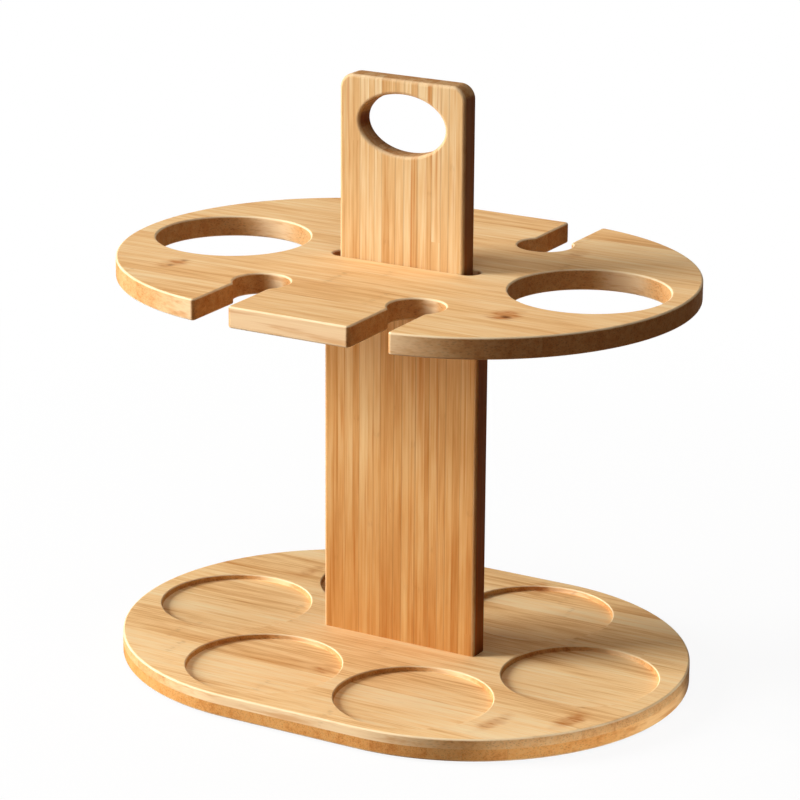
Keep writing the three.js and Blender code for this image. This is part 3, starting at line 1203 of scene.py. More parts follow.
@dataclass(frozen=True)
class CloudyFinish:
    """A plain finish that is uneven in fine clouds.

    Attributes:
        name: The material's name.
        clean: Its usual colour.
        clouded: Its colour in the clouds.
        rate: How often the clouds change in a metre.
        clouds: Where in the noise the clouds set in.
        gloss: Where in the noise the roughness changes, and the roughness before and after.
    """

    name: str
    clean: Colour
    clouded: Colour
    rate: float
    clouds: Range
    gloss: Change

    def _cloudy(self, effects: SurfaceEffects) -> tuple[
            bpy.types.Material, Wiring, bpy.types.Node, bpy.types.NodeOutputs]:
        """Builds what such finishes share.

        Args:
            effects: The shared shader groups.

        Returns:
            The material, its wiring, its shader and what the mottle's group gives.
        """
        material, wiring, shader = blank_material(self.name)
        place = wiring.node("ShaderNodeTexCoord").outputs["Object"]
        mottle = wiring.group(effects.mottle, {"Vector": place, "Scale": self.rate})
        clouds = wiring.ramp(mottle["Cloud"], *self.clouds)
        wiring.feed(shader.inputs["Base Color"], wiring.blend(clouds, self.clean, self.clouded))
        wiring.feed(shader.inputs["Roughness"], wiring.ramp(mottle["Cloud"], *self.gloss))
        return material, wiring, shader, mottle


@dataclass(frozen=True)
class PlatedSteel(CloudyFinish):
    """Zinc-plated steel of a wood screw, gone grey in clouds."""

    name: str = "plated_screw_steel"
    clean: Colour = paint(214, 212, 204)
    clouded: Colour = paint(150, 148, 140)
    rate: float = 900.0
    clouds: Range = (0.35, 0.7)
    gloss: Change = (0.3, 0.7, 0.26, 0.44)

    def material(self, effects: SurfaceEffects) -> bpy.types.Material:
        """Builds the finish.

        Args:
            effects: The shared shader groups.

        Returns:
            The material.
        """
        material, _, shader, _ = self._cloudy(effects)
        shader.inputs["Metallic"].default_value = 1.0
        return material


@dataclass(frozen=True)
class SoftRubber(CloudyFinish):
    """Black rubber of a stick-on foot, with dust rubbed into it in clouds.

    Attributes:
        relief_strength: How strong its fine relief is.
        relief_depth: How deep its fine relief is.
    """

    name: str = "soft_foot_rubber"
    clean: Colour = paint(34, 33, 32)
    clouded: Colour = paint(66, 63, 60)
    rate: float = 350.0
    clouds: Range = (0.4, 0.75)
    gloss: Change = (0.3, 0.7, 0.72, 0.9)
    relief_strength: float = 0.4
    relief_depth: float = 0.05 * MM

    def material(self, effects: SurfaceEffects) -> bpy.types.Material:
        """Builds the finish.

        Args:
            effects: The shared shader groups.

        Returns:
            The material.
        """
        material, wiring, shader, mottle = self._cloudy(effects)
        wiring.relief(shader, mottle["Speck"], self.relief_strength, self.relief_depth)
        return material


# What all the bamboo has in common, with the arris colour that is partly sanding wear and partly a painted
# highlight.
SHARED: dict[str, object] = dict(
    ends=paint(224, 200, 172), scorch=paint(122, 68, 26), knot=paint(186, 104, 28),
    sanded_and_highlit=paint(255, 232, 190), layer=0.1)


def board_finish(name: str, **changes: object) -> BambooFinish:
    """The bamboo of a board, with the strips along it.

    Args:
        name: The material's name.
        changes: The values that this board has of its own.

    Returns:
        The finish.
    """
    values: dict[str, object] = dict(
        SHARED, grain=Grain.ALONG_BOARD, straw=paint(249, 217, 166), honey=paint(241, 195, 136),
        # The narrow sides take a pale cream, a painted highlight.
        amber=paint(212, 149, 82), side_light_and_shade=paint(250, 224, 184), side_light_and_shade_depth=0.55, flank_lines=0.9,
        strip_width=22 * MM, strip_length=2.4, strip_contrast=0.26, fibre_contrast=0.95,
        streak_depth=0.24, streak_run=26.0, seam_depth=0.1, end_depth=0.8, line_depth=0.2, wear=0.95,
        seed=2.0)
    values.update(changes)
    return BambooFinish(name=name, **values)


def post_finish(name: str) -> BambooFinish:
    """The bamboo of the post, with narrow strips that stand upright.

    Args:
        name: The material's name.

    Returns:
        The finish.
    """
    return BambooFinish(
        name=name, grain=Grain.UPRIGHT, straw=paint(234, 199, 144), honey=paint(219, 168, 106),
        # The narrow sides take a dark brown, a painted shade.
        amber=paint(190, 127, 64), side_light_and_shade=paint(122, 58, 17), side_light_and_shade_depth=0.85, flank_lines=0.0,
        strip_width=4.4 * MM, strip_length=1.2, strip_contrast=0.34, fibre_contrast=0.78,
        streak_depth=0.5, streak_run=9.0, seam_depth=0.26, end_depth=0.6, line_depth=0.12, wear=0.4,
        # The two tints paint shade towards the foot and light on the upper post and handle.
        seed=5.0, painted_shade_end=0.0, painted_light_end=0.25, painted_shade_tint=(0.81, 0.68, 0.52, 1.0),
        painted_light_tint=(1.03, 1.2, 1.5, 1.0), plain_place=0.15, **SHARED)


# ---- The caddy's pieces


def hand_over(name: str, mesh: bpy.types.Mesh, body: str,
              nodes: Sequence[str]) -> bpy.types.Object:
    """Puts a finished mesh in the scene in place of its solids.

    Args:
        name: The piece's name.
        mesh: Its mesh, in the object's frame.
        body: The body it moves with.
        nodes: The solids it stands for.

    Returns:
        The piece.
    """
    piece = bpy.data.objects.new(name, mesh)
    bpy.context.scene.collection.objects.link(piece)
    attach(piece, body)
    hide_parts(*nodes)
    LOG.info("%s: %d faces, rides on %s, stands for %s", name, len(mesh.polygons), body, ", ".join(nodes))
    return piece


@dataclass
class BoardPlan:
    """What the two boards share.

    Attributes:
        length: The board's length.
        depth: The board's depth.
        arris: The radius of its rounded arrises.
        bottle_x: How far the two places near the ends lie from the middle.
        glass_x: How far the other four places lie from the middle, along the board.
        glass_y: How far the other four places lie from the middle, across it.
        round_steps: How many points go round a recess or a hole.
        arris_steps: How many chords a rounded arris has.
    """

    length: float = 320 * MM
    depth: float = 240 * MM
    arris: float = 1.2 * MM
    bottle_x: float = 108 * MM
    glass_x: float = 46 * MM
    glass_y: float = 70.5 * MM
    round_steps: int = 176
    arris_steps: int = 5

    @property
    def end_radius(self) -> float:
        """The radius of the board's half-round ends."""
        return self.depth / 2

    @property
    def end_x(self) -> float:
        """Where the half-round ends have their centres."""
        return self.length / 2 - self.end_radius


@dataclass
class BaseBoard(BoardPlan):
    """The base board, with its shallow round recesses and the countersunk holes below.

    Attributes:
        recess_radius: The radius of a recess.
        recess_depth: Its depth.
        rim_round: The radius of its rim.
        floor_round: The radius between its wall and its floor.
        screw_x: How far the screw holes lie from the middle.
        screw_hole: The radius of a screw hole.
        sink_hole: The radius of its countersink.
        sink_depth: The depth of the countersink's straight part.
        cone_depth: The depth at which the countersink has narrowed to the hole.
        end_steps: How many chords a half-round end has.
        screw_steps: How many points go round a screw hole.
        lower_ply: The thickness of the lower ply.
        nodes: The culm nodes that show on its face.
    """

    recess_radius: float = 42 * MM
    recess_depth: float = 3 * MM
    rim_round: float = 0.8 * MM
    floor_round: float = 0.5 * MM
    screw_x: float = 30 * MM
    screw_hole: float = 2.3 * MM
    sink_hole: float = 4.3 * MM
    sink_depth: float = 1.1 * MM
    cone_depth: float = 3.2 * MM
    end_steps: int = 96
    screw_steps: int = 40
    lower_ply: float = 6.9 * MM
    nodes: tuple[CulmNode, ...] = (
        CulmNode(98.2, -80, 6, 16, 0.95, 0.18),
        CulmNode(131.8, -55.6, 6.5, 17, 1.0, 0.16),
        CulmNode(-17, -57, 8, 9, 1.2),
        CulmNode(-96, 62, 6, 14, 0.55, 0.1),
        CulmNode(28, 108, 6, 10, 0.55),
    )

    def outline(self) -> Outline:
        """Draws the board's outline.

        Returns:
            Straight long sides and half-round ends.
        """
        pen = OutlinePen()
        pen.arc((self.end_x, 0), self.end_radius, -QUARTER, QUARTER, self.end_steps)
        pen.arc((-self.end_x, 0), self.end_radius, QUARTER, 3 * QUARTER, self.end_steps)
        return pen.outline()

    def recess(self, shell: Shell, centre: Spot, layout: Layout, top: float) -> np.ndarray:
        """Adds a recess.

        Args:
            shell: The board's shell.
            centre: The recess's middle.
            layout: The board's layout.
            top: The height of the board's face.

        Returns:
            The ring where the recess's rim meets the face.
        """
        floor = top - self.recess_depth
        corner = []
        for step in range(self.arris_steps + 1):
            turn = QUARTER * step / self.arris_steps
            corner.append(Station(self.floor_round * (math.sin(turn) - 1),
                                  floor + self.floor_round * (1 - math.cos(turn)), QUARTER - turn))
        rim = rounded(self.rim_round, 0, top - self.rim_round, 0, QUARTER, self.arris_steps)
        wall = Outline.hole(centre, (self.recess_radius, self.recess_radius), self.round_steps)
        rings = shell.stack(wall, corner + rim, layout)
        shell.cap([rings[0]], layout, Facing.UP)
        return rings[-1]

    def screw_passage(self, shell: Shell, x: float, layout: Layout,
                      top: float) -> tuple[np.ndarray, np.ndarray]:
        """Adds a countersunk hole from the underside to the face.

        Args:
            shell: The board's shell.
            x: Where the hole is along the board.
            layout: The board's layout.
            top: The height of the board's face.

        Returns:
            The hole's lower and upper rings.
        """
        sink = self.screw_hole - self.sink_hole
        stations = [Station(0.0, 0.0), Station(0.0, self.sink_depth), Station(sink, self.cone_depth),
                    Station(sink, top)]
        wall = Outline.hole((x, 0.0), (self.sink_hole, self.sink_hole), self.screw_steps)
        rings = shell.stack(wall, stations, layout, crisp=True)
        return rings[0], rings[-1]

    def build(self) -> bpy.types.Mesh:
        """Builds the board between its solid's lower and upper faces.

        Returns:
            The board's mesh.
        """
        low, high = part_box("base_board")
        thickness = high.z - low.z
        layout = Layout(origin=(0, 0, low.z))
        shell = Shell()
        edge = shell.stack(self.outline(), eased_slab(thickness, self.arris, self.arris_steps), layout)
        upper, lower = [edge[-1]], [edge[0]]
        places = [(side * self.bottle_x, 0.0) for side in SIDES]
        places += [(side * self.glass_x, row * self.glass_y) for side in SIDES for row in SIDES]
        upper += [self.recess(shell, place, layout, thickness) for place in places]
        for side in SIDES:
            bottom, top = self.screw_passage(shell, side * self.screw_x, layout, thickness)
            lower.append(bottom)
            upper.append(top)
        shell.cap(upper, layout, Facing.UP)
        shell.cap(lower, layout, Facing.DOWN)
        return shell.mesh("bamboo_base")

    def dress(self, effects: SurfaceEffects) -> bpy.types.Object:
        """Builds the piece and gives it its bamboo.

        Args:
            effects: The shared shader groups.

        Returns:
            The piece.
        """
        low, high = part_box("base_board")
        mesh = self.build()
        # The base's straw and honey are paler than the top board's, partly a painted light for the brighter
        # light on its front.
        bamboo = board_finish(
            "base_bamboo", streak_depth=0.12, streak_run=60.0, straw=paint(254, 227, 178),
            honey=paint(251, 210, 150), ply_height=low.z + self.lower_ply, lower_ply=paint(253, 236, 208),
            face_height=high.z, nodes=self.nodes)
        mesh.materials.append(bamboo.material(effects))
        return hand_over("bamboo_base", mesh, "stand", ["base_board"])


@dataclass
class TopBoard(BoardPlan):
    """The top board, with two round holes, four keyholes and the slot round the handle.

    Attributes:
        bottle_hole: The radius of a round hole.
        seat: The radius of a keyhole's round seat.
        slot: Half the width of the way in to a seat.
        mouth_round: The radius of the corners at a slot's mouth.
        throat_round: The radius of the corners where a slot opens into its seat.
        handle_half: Half the length of the slot round the handle.
        handle_reach: Half the width of that slot.
        end_steps: How many chords half an end has, up to a slot's mouth.
        mouth_steps: How many chords a corner at a mouth has.
        throat_steps: How many chords a corner at a seat has.
        seat_steps: How many chords a seat has.
        slot_steps: How many chords an end of the handle's slot has.
        nodes: The culm nodes that show on its face.
    """

    bottle_hole: float = 42 * MM
    seat: float = 15 * MM
    slot: float = 10.5 * MM
    mouth_round: float = 2 * MM
    throat_round: float = 1.5 * MM
    handle_half: float = 44 * MM
    handle_reach: float = 6.5 * MM
    end_steps: int = 48
    mouth_steps: int = 8
    throat_steps: int = 6
    seat_steps: int = 56
    slot_steps: int = 24
    nodes: tuple[CulmNode, ...] = (
        CulmNode(-104.5, -64, 8, 13, 0.9, 0.1),
        CulmNode(-102.4, -58, 4, 3, 0.5, core=0.5),
        CulmNode(91.5, -61, 9, 14, 1.4, 0.1),
        CulmNode(93.7, -65.2, 4, 3, 0.5, core=1.0),
        CulmNode(-103.5, -69.2, 4, 3, 0.5, core=0.9),
        CulmNode(-20, 92, 6, 12, 0.6, 0.1),
        CulmNode(70, 62, 6, 14, 0.55),
    )

    def keyhole_corners(self, side: int) -> tuple[Spot, Spot]:
        """The centres of the rounded corners at one side of a keyhole.

        Args:
            side: 1 for the side towards the board's end, -1 for the other.

        Returns:
            The centre at the mouth and the centre at the throat.
        """
        mouth_x = self.glass_x + side * (self.slot + self.mouth_round)
        past_end = max(mouth_x - self.end_x, 0.0)
        mouth = (mouth_x, math.sqrt((self.end_radius - self.mouth_round) ** 2 - past_end ** 2))
        reach = self.slot + self.throat_round
        rise = math.sqrt((self.seat + self.throat_round) ** 2 - reach ** 2)
        return mouth, (self.glass_x + side * reach, self.glass_y + rise)

    def outline(self) -> Outline:
        """Draws the board's outline.

        Returns:
            The outline with its four keyholes.
        """
        mouth, throat = self.keyhole_corners(1)
        far_mouth, far_throat = self.keyhole_corners(-1)
        leave = math.atan2(mouth[1], mouth[0] - self.end_x)
        enter = math.atan2(throat[1] - self.glass_y, throat[0] - self.glass_x)
        seat = (self.glass_x, self.glass_y)
        pen = OutlinePen()
        pen.arc((self.end_x, 0), self.end_radius, 0, leave, self.end_steps)
        pen.arc(mouth, self.mouth_round, leave, math.pi, self.mouth_steps)
        pen.arc(throat, self.throat_round, math.pi, math.pi + enter, self.throat_steps)
        pen.arc(seat, self.seat, enter, -math.pi - enter, self.seat_steps, hollow=True)
        pen.arc(far_throat, self.throat_round, -enter, 0, self.throat_steps)
        pen.arc(far_mouth, self.mouth_round, 0, QUARTER, self.mouth_steps)
        return pen.mirrored(0).mirrored(1).outline()

    def handle_slot(self) -> Outline:
        """Draws the slot round the handle.

        Returns:
            Straight sides and half-round ends.
        """
        centre = self.handle_half - self.handle_reach
        pen = OutlinePen()
        pen.arc((-centre, 0), self.handle_reach, -QUARTER, -3 * QUARTER, self.slot_steps, hollow=True)
        pen.arc((centre, 0), self.handle_reach, QUARTER, -QUARTER, self.slot_steps, hollow=True)
        return pen.outline()

    def build(self) -> bpy.types.Mesh:
        """Builds the board between its solid's lower and upper faces.

        Returns:
            The board's mesh.
        """
        low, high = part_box("top_board")
        profile = eased_slab(high.z - low.z, self.arris, self.arris_steps)
        layout = Layout(origin=(0, 0, low.z))
        shell = Shell()
        holes = [Outline.hole((side * self.bottle_x, 0), (self.bottle_hole,) * 2, self.round_steps)
                 for side in SIDES]
        edges = (self.outline(), *holes, self.handle_slot())
        stacks = [shell.stack(edge, profile, layout) for edge in edges]
        shell.cap([rings[-1] for rings in stacks], layout, Facing.UP)
        shell.cap([rings[0] for rings in stacks], layout, Facing.DOWN)
        return shell.mesh("bamboo_top")

    def dress(self, effects: SurfaceEffects) -> bpy.types.Object:
        """Builds the piece and gives it its bamboo.

        Args:
            effects: The shared shader groups.

        Returns:
            The piece.
        """
        _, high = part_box("top_board")
        mesh = self.build()
        bamboo = board_finish("top_bamboo", seed=9.0, face_height=high.z, nodes=self.nodes)
        mesh.materials.append(bamboo.material(effects))
        return hand_over("bamboo_top", mesh, "top_shelf", ["top_board"])


@dataclass
class CentrePost:
    """The centre post, which narrows above its shoulders to the carrying handle.

    Attributes:
        half_width: Half the post's width.
        half_handle: Half the handle's width.
        shoulder: The height of the shoulders.
        arris: The radius of its rounded arrises.
        shoulder_round: The radius of the shoulders' outer corners.
        fillet: The radius where the handle rises from the shoulders.
        corner: The radius of the handle's upper corners.
        finger_half: Half the finger hole's width and half its height.
        finger_wall: How much wood is left above the finger hole.
        screw_x: How far the pilot holes lie from the middle.
        pilot: The radius of a pilot hole.
        pilot_depth: The depth of its straight part.
        pilot_tip: The length of its tapered end.
        pilot_taper: How much of its radius it loses there.
        arris_steps: How many chords a rounded arris has.
        shoulder_steps: How many chords a shoulder's corner or fillet has.
        corner_steps: How many chords an upper corner has.
        finger_steps: How many points go round the finger hole.
        pilot_steps: How many points go round a pilot hole.
    """

    half_width: float = 47 * MM
    half_handle: float = 37.5 * MM
    shoulder: float = 215 * MM
    arris: float = 2 * MM
    shoulder_round: float = 2.3 * MM
    fillet: float = 2.5 * MM
    corner: float = 8 * MM
    finger_half: Spot = (25.5 * MM, 16.25 * MM)
    finger_wall: float = 8 * MM
    screw_x: float = 30 * MM
    pilot: float = 2.3 * MM
    pilot_depth: float = 23.3 * MM
    pilot_tip: float = 5 * MM
    pilot_taper: float = 0.7
    arris_steps: int = 6
    shoulder_steps: int = 8
    corner_steps: int = 20
    finger_steps: int = 160
    pilot_steps: int = 32

    def outline(self, foot: float, top: float) -> Outline:
        """The post's front outline, open at the foot.

        Args:
            foot: The height of its sawn foot.
            top: The height of the handle's top.

        Returns:
            The outline, up the right side and down the left one.
        """
        shoulder = (self.half_width - self.shoulder_round, self.shoulder - self.shoulder_round)
        fillet = (self.half_handle + self.fillet, self.shoulder + self.fillet)
        corner = (self.half_handle - self.corner, top - self.corner)
        pen = OutlinePen()
        pen.point((self.half_width, foot), (1, 0))
        pen.arc(shoulder, self.shoulder_round, 0, QUARTER, self.shoulder_steps)
        pen.arc(fillet, self.fillet, -QUARTER, -2 * QUARTER, self.shoulder_steps, hollow=True)
        pen.arc(corner, self.corner, 0, QUARTER, self.corner_steps)
        return pen.mirrored(0).outline(closed=False)

    def pilot_hole(self, shell: Shell, x: float, foot: float) -> np.ndarray:
        """Adds a pilot hole up from the foot.

        Args:
            shell: The post's shell.
            x: Where the hole is across the post.
            foot: The height of the post's foot.

        Returns:
            The hole's lower ring.
        """
        stations = [Station(0.0, 0.0), Station(0.0, self.pilot_depth),
                    Station(-self.pilot_taper * self.pilot, self.pilot_depth + self.pilot_tip)]
        layout = Layout(origin=(0, 0, foot))
        wall = Outline.hole((x, 0.0), (self.pilot, self.pilot), self.pilot_steps)
        rings = shell.stack(wall, stations, layout, crisp=True)
        shell.cap([rings[-1]], layout, Facing.DOWN)
        return rings[0]

    def build(self) -> bpy.types.Mesh:
        """Builds the post inside its solid's box.

        Returns:
            The post's mesh.
        """
        low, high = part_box("centre_post")
        thickness = high.y - low.y
        upright = Layout(along=(0, 0, 1), rise=(0, -1, 0), origin=(0, high.y, 0))
        profile = eased_slab(thickness, self.arris, self.arris_steps)
        middle = (0.0, high.z - self.finger_wall - self.finger_half[1])
        finger = Outline.hole(middle, self.finger_half, self.finger_steps)
        shell = Shell()
        edge = shell.stack(self.outline(low.z, high.z), profile, upright)
        hole = shell.stack(finger, profile, upright)
        shell.cap([edge[-1], hole[-1]], upright, Facing.UP)
        shell.cap([edge[0], hole[0]], upright, Facing.DOWN)
        foot = np.array([ring[0] for ring in edge] + [ring[-1] for ring in edge[::-1]])
        pilots = [self.pilot_hole(shell, side * self.screw_x, low.z) for side in SIDES]
        shell.cap([foot, *pilots], Layout(), Facing.DOWN)
        return shell.mesh("bamboo_post")

    def dress(self, effects: SurfaceEffects) -> bpy.types.Object:
        """Builds the piece and gives it its bamboo.

        Args:
            effects: The shared shader groups.

        Returns:
            The piece.
        """
        mesh = self.build()
        mesh.materials.append(post_finish("post_bamboo").material(effects))
        return hand_over("bamboo_post", mesh, "stand", ["centre_post"])


# ---- Pieces grown by geometry nodes

# Edges that turn further than this stay sharp.
CREASE_ANGLE = math.radians(35)


def turned(wiring: Wiring, stations: Sequence[tuple[Value, Value]], sides: int) -> Socket:
    """Adds the nodes of a turned solid that stands on Z.

    Args:
        wiring: The tree's wiring.
        stations: The height and the radius at each level, from the lowest up.
        sides: How many sides the solid has.

    Returns:
        The solid's mesh.
    """
    index = wiring.node("GeometryNodeInputIndex").outputs[0]
    picks = []
    for column in (0, 1):
        pick = wiring.node("GeometryNodeIndexSwitch", data_type="FLOAT")
        while len(pick.index_switch_items) < len(stations):
            pick.index_switch_items.new()
        wiring.feed(pick.inputs[0], index)
        for level, station in enumerate(stations):
            wiring.feed(pick.inputs[level + 1], station[column])
        picks.append(pick.outputs[0])
    height, radius = picks
    line = wiring.node("GeometryNodeMeshLine", {"Count": len(stations)}).outputs[0]
    placed = wiring.node("GeometryNodeSetPosition", {
        "Geometry": line, "Position": wiring.combine(0.0, 0.0, height)}).outputs[0]
    path = wiring.node("GeometryNodeMeshToCurve", {"Mesh": placed}).outputs[0]
    circle = wiring.node("GeometryNodeCurvePrimitiveCircle", {
        "Resolution": sides, "Radius": 1.0}).outputs[0]
    return wiring.node("GeometryNodeCurveToMesh", {
        "Curve": path, "Profile Curve": circle, "Scale": radius, "Fill Caps": True}).outputs[0]


def finish_tree(wiring: Wiring, out: bpy.types.NodeInputs, points: Value, piece: Value,
                material: Value) -> bpy.types.NodeTree:
    """Ends a tree with the piece on each point, made real and shaded by its edges' angles.

    Args:
        wiring: The tree's wiring.
        out: The sockets that take the tree's outputs.
        points: Where the copies stand.
        piece: What is copied.
        material: Its material.

    Returns:
        The tree, now complete.
    """
    copies = wiring.node("GeometryNodeInstanceOnPoints", {"Points": points, "Instance": piece}).outputs[0]
    real = wiring.node("GeometryNodeRealizeInstances", {"Geometry": copies}).outputs[0]
    smooth = wiring.node("GeometryNodeSetShadeSmooth", {"Geometry": real, "Shade Smooth": True}).outputs[0]
    angle = wiring.node("GeometryNodeInputMeshEdgeAngle").outputs[0]
    sharp = wiring.node("FunctionNodeCompare", {0: angle, 1: CREASE_ANGLE}, data_type="FLOAT",
                        operation="GREATER_THAN").outputs[0]
    creased = wiring.node("GeometryNodeSetShadeSmooth", {
        "Geometry": smooth, "Selection": sharp, "Shade Smooth": False}, domain="EDGE").outputs[0]
    dressed = wiring.node("GeometryNodeSetMaterial", {"Geometry": creased, "Material": material})
    return wiring.give(out, Geometry=dressed.outputs[0])


def grow(name: str, tree: bpy.types.NodeTree, values: dict[str, Value]) -> bpy.types.Mesh:
    """Runs a geometry tree and keeps its result as a plain mesh.

    Args:
        name: The mesh's name.
        tree: The tree.
        values: The tree's inputs by name.

    Returns:
        The mesh.
    """
    carrier = bpy.data.objects.new(name + "_carrier", bpy.data.meshes.new(name + "_seed"))
    bpy.context.scene.collection.objects.link(carrier)
    modifier = carrier.modifiers.new("grow", "NODES")
    modifier.node_group = tree
    for item in tree.interface.items_tree:
        if item.item_type == "SOCKET" and item.in_out == "INPUT" and item.name in values:
            modifier[item.identifier] = values[item.name]
    mesh = bpy.data.meshes.new_from_object(carrier.evaluated_get(bpy.context.evaluated_depsgraph_get()))
    carrier.modifiers.remove(modifier)
    bpy.data.objects.remove(carrier)
    mesh.name = name
    return mesh


@dataclass
class FootPads:
    """Four stick-on feet under the base board.

    Attributes:
        radius: A foot's radius.
        height: Its height.
        ease: The radius of its lower edge.
        out_x: How far the feet lie from the middle, along the board.
        out_y: How far they lie from the middle, across it.
        sides: How many sides a foot has.
        ease_steps: How many chords its lower edge has.
    """

    radius: float = 7 * MM
    height: float = 1.5 * MM
    ease: float = 0.5 * MM
    out_x: float = 110.711 * MM
    out_y: float = 70.711 * MM
    sides: int = 56
    ease_steps: int = 5

    def sizes(self) -> dict[str, Value]:
        """The tree's measures by name."""
        return {"Radius": self.radius, "Height": self.height, "Ease": self.ease,
                "Length Apart": 2 * self.out_x, "Depth Apart": 2 * self.out_y}

    def tree(self) -> bpy.types.NodeTree:
        """Wires the turning of a foot and the setting out of four.

        Returns:
            The geometry tree.
        """
        wiring, given, out = new_tree(
            "turned_feet", "GeometryNodeTree", [*map(Port, self.sizes()), MATERIAL_PORT], [GEOMETRY_PORT])
        flat = wiring.math("SUBTRACT", given["Radius"], given["Ease"])
        stations: list[tuple[Value, Value]] = []
        for step in range(self.ease_steps + 1):
            turn = QUARTER * step / self.ease_steps
            stations.append((wiring.product(given["Ease"], 1 - math.cos(turn)),
                             wiring.math("MULTIPLY_ADD", given["Ease"], math.sin(turn), flat)))
        stations.append((given["Height"], given["Radius"]))
        spots = wiring.node("GeometryNodeMeshGrid", {
            "Size X": given["Length Apart"], "Size Y": given["Depth Apart"],
            "Vertices X": 2, "Vertices Y": 2}).outputs[0]
        return finish_tree(wiring, out, spots, turned(wiring, stations, self.sides), given["Material"])

    def dress(self, effects: SurfaceEffects) -> bpy.types.Object:
        """Grows the feet in black rubber.

        Args:
            effects: The shared shader groups.

        Returns:
            The piece.
        """
        rubber = SoftRubber().material(effects)
        mesh = grow("rubber_feet", self.tree(), {**self.sizes(), "Material": rubber})
        nodes = [f"foot_pad_{row}_{side}" for row in ("front", "back") for side in ("left", "right")]
        return hand_over("rubber_feet", mesh, "stand", nodes)


@dataclass
class PostScrews:
    """Two countersunk wood screws, up through the base board into the post.

    Attributes:
        apart: How far apart they are.
        foot: The height of their heads' faces.
        length: A screw's length.
        head: The radius of its head.
        rim: The height of its head's rim.
        head_height: The height at which its head has narrowed to the plain shank.
        core: The radius of its core.
        thread: The radius of its thread's crests and of the plain shank.
        thread_start: The height at which its thread starts.
        tip: The length of its point.
        pitch: The rise of one turn of its thread.
        drive: The length, width and depth of the cross in its head.
        sides: How many sides its body has.
        turn_steps: How many points one turn of its thread has.
        ridge_sides: How many sides its thread's section has.
        ridge_share: How much of the room between core and crest the thread fills.
        point_share: The radius at its very tip, in core radii.
    """

    apart: float = 60 * MM
    foot: float = 2 * MM
    length: float = 40 * MM
    head: float = 4 * MM
    rim: float = 0.3 * MM
    head_height: float = 2.4 * MM
    core: float = 1.5 * MM
    thread: float = 2 * MM
    thread_start: float = 12 * MM
    tip: float = 5 * MM
    pitch: float = 1.8 * MM
    drive: Place = (4.4 * MM, 0.9 * MM, 1.5 * MM)
    sides: int = 48
    turn_steps: int = 28
    ridge_sides: int = 3
    ridge_share: float = 0.9
    point_share: float = 0.2

    def sizes(self) -> dict[str, Value]:
        """The tree's measures by name.

        Returns:
            The measures, in the order of the tree's inputs.
        """
        long, wide, deep = self.drive
        return {"Head Radius": self.head, "Core Radius": self.core, "Thread Radius": self.thread,
                "Length": self.length, "Head Height": self.head_height, "Rim": self.rim, "Tip": self.tip,
                "Thread Start": self.thread_start, "Pitch": self.pitch, "Drive Length": long,
                "Drive Width": wide, "Drive Depth": deep, "Apart": self.apart, "Foot": self.foot}

    def tree(self) -> bpy.types.NodeTree:
        """Wires the turning of a screw, its thread, its cross and the setting out of two.

        Returns:
            The geometry tree.
        """
        wiring, given, out = new_tree(
            "wood_screws", "GeometryNodeTree", [*map(Port, self.sizes()), MATERIAL_PORT], [GEOMETRY_PORT])
        head, core, crest = given["Head Radius"], given["Core Radius"], given["Thread Radius"]
        start, apart = given["Thread Start"], given["Apart"]
        shoulder = wiring.math("SUBTRACT", given["Length"], given["Tip"])
        body = turned(wiring, [
            (0.0, head), (given["Rim"], head), (given["Head Height"], crest), (start, crest),
            (wiring.math("ADD", start, given["Rim"]), core), (shoulder, core),
            (given["Length"], wiring.product(core, self.point_share))], self.sides)
        deep = wiring.product(given["Drive Depth"], 2.0)
        for size in (wiring.combine(given["Drive Length"], given["Drive Width"], deep),
                     wiring.combine(given["Drive Width"], given["Drive Length"], deep)):
            bar = wiring.node("GeometryNodeMeshCube", {"Size": size}).outputs[0]
            body = wiring.node("GeometryNodeMeshBoolean", {"Mesh 1": body, "Mesh 2": bar},
                               operation="DIFFERENCE", solver="EXACT").outputs[0]
        rise = wiring.math("SUBTRACT", shoulder, start)
        wound = wiring.node("GeometryNodeCurveSpiral", {
            "Resolution": self.turn_steps, "Rotations": wiring.math("DIVIDE", rise, given["Pitch"]),
            "Start Radius": core, "End Radius": core, "Height": rise}).outputs[0]
        section = wiring.node("GeometryNodeCurvePrimitiveCircle", {
            "Resolution": self.ridge_sides, "Radius": wiring.math("SUBTRACT", crest, core)}).outputs[0]
        thread = wiring.node("GeometryNodeCurveToMesh", {
            "Curve": wound, "Profile Curve": section, "Scale": self.ridge_share,
            "Fill Caps": True}).outputs[0]
        lifted = wiring.node("GeometryNodeTransform", {
            "Geometry": thread, "Translation": wiring.combine(0.0, 0.0, start)}).outputs[0]
        screw = wiring.node("GeometryNodeJoinGeometry")
        for part in (body, lifted):
            wiring.feed(screw.inputs[0], part)
        spots = wiring.node("GeometryNodeMeshLine", {
            "Count": 2, "Offset": wiring.combine(apart, 0.0, 0.0),
            "Start Location": wiring.combine(wiring.product(apart, -HALF), 0.0, given["Foot"])}).outputs[0]
        return finish_tree(wiring, out, spots, screw.outputs[0], given["Material"])

    def dress(self, effects: SurfaceEffects) -> bpy.types.Object:
        """Grows the screws in plated steel.

        Args:
            effects: The shared shader groups.

        Returns:
            The piece.
        """
        steel = PlatedSteel().material(effects)
        mesh = grow("steel_screws", self.tree(), {**self.sizes(), "Material": steel})
        nodes = [f"post_screw_{side}" for side in ("left", "right")]
        return hand_over("steel_screws", mesh, "stand", nodes)


# ---- Studio


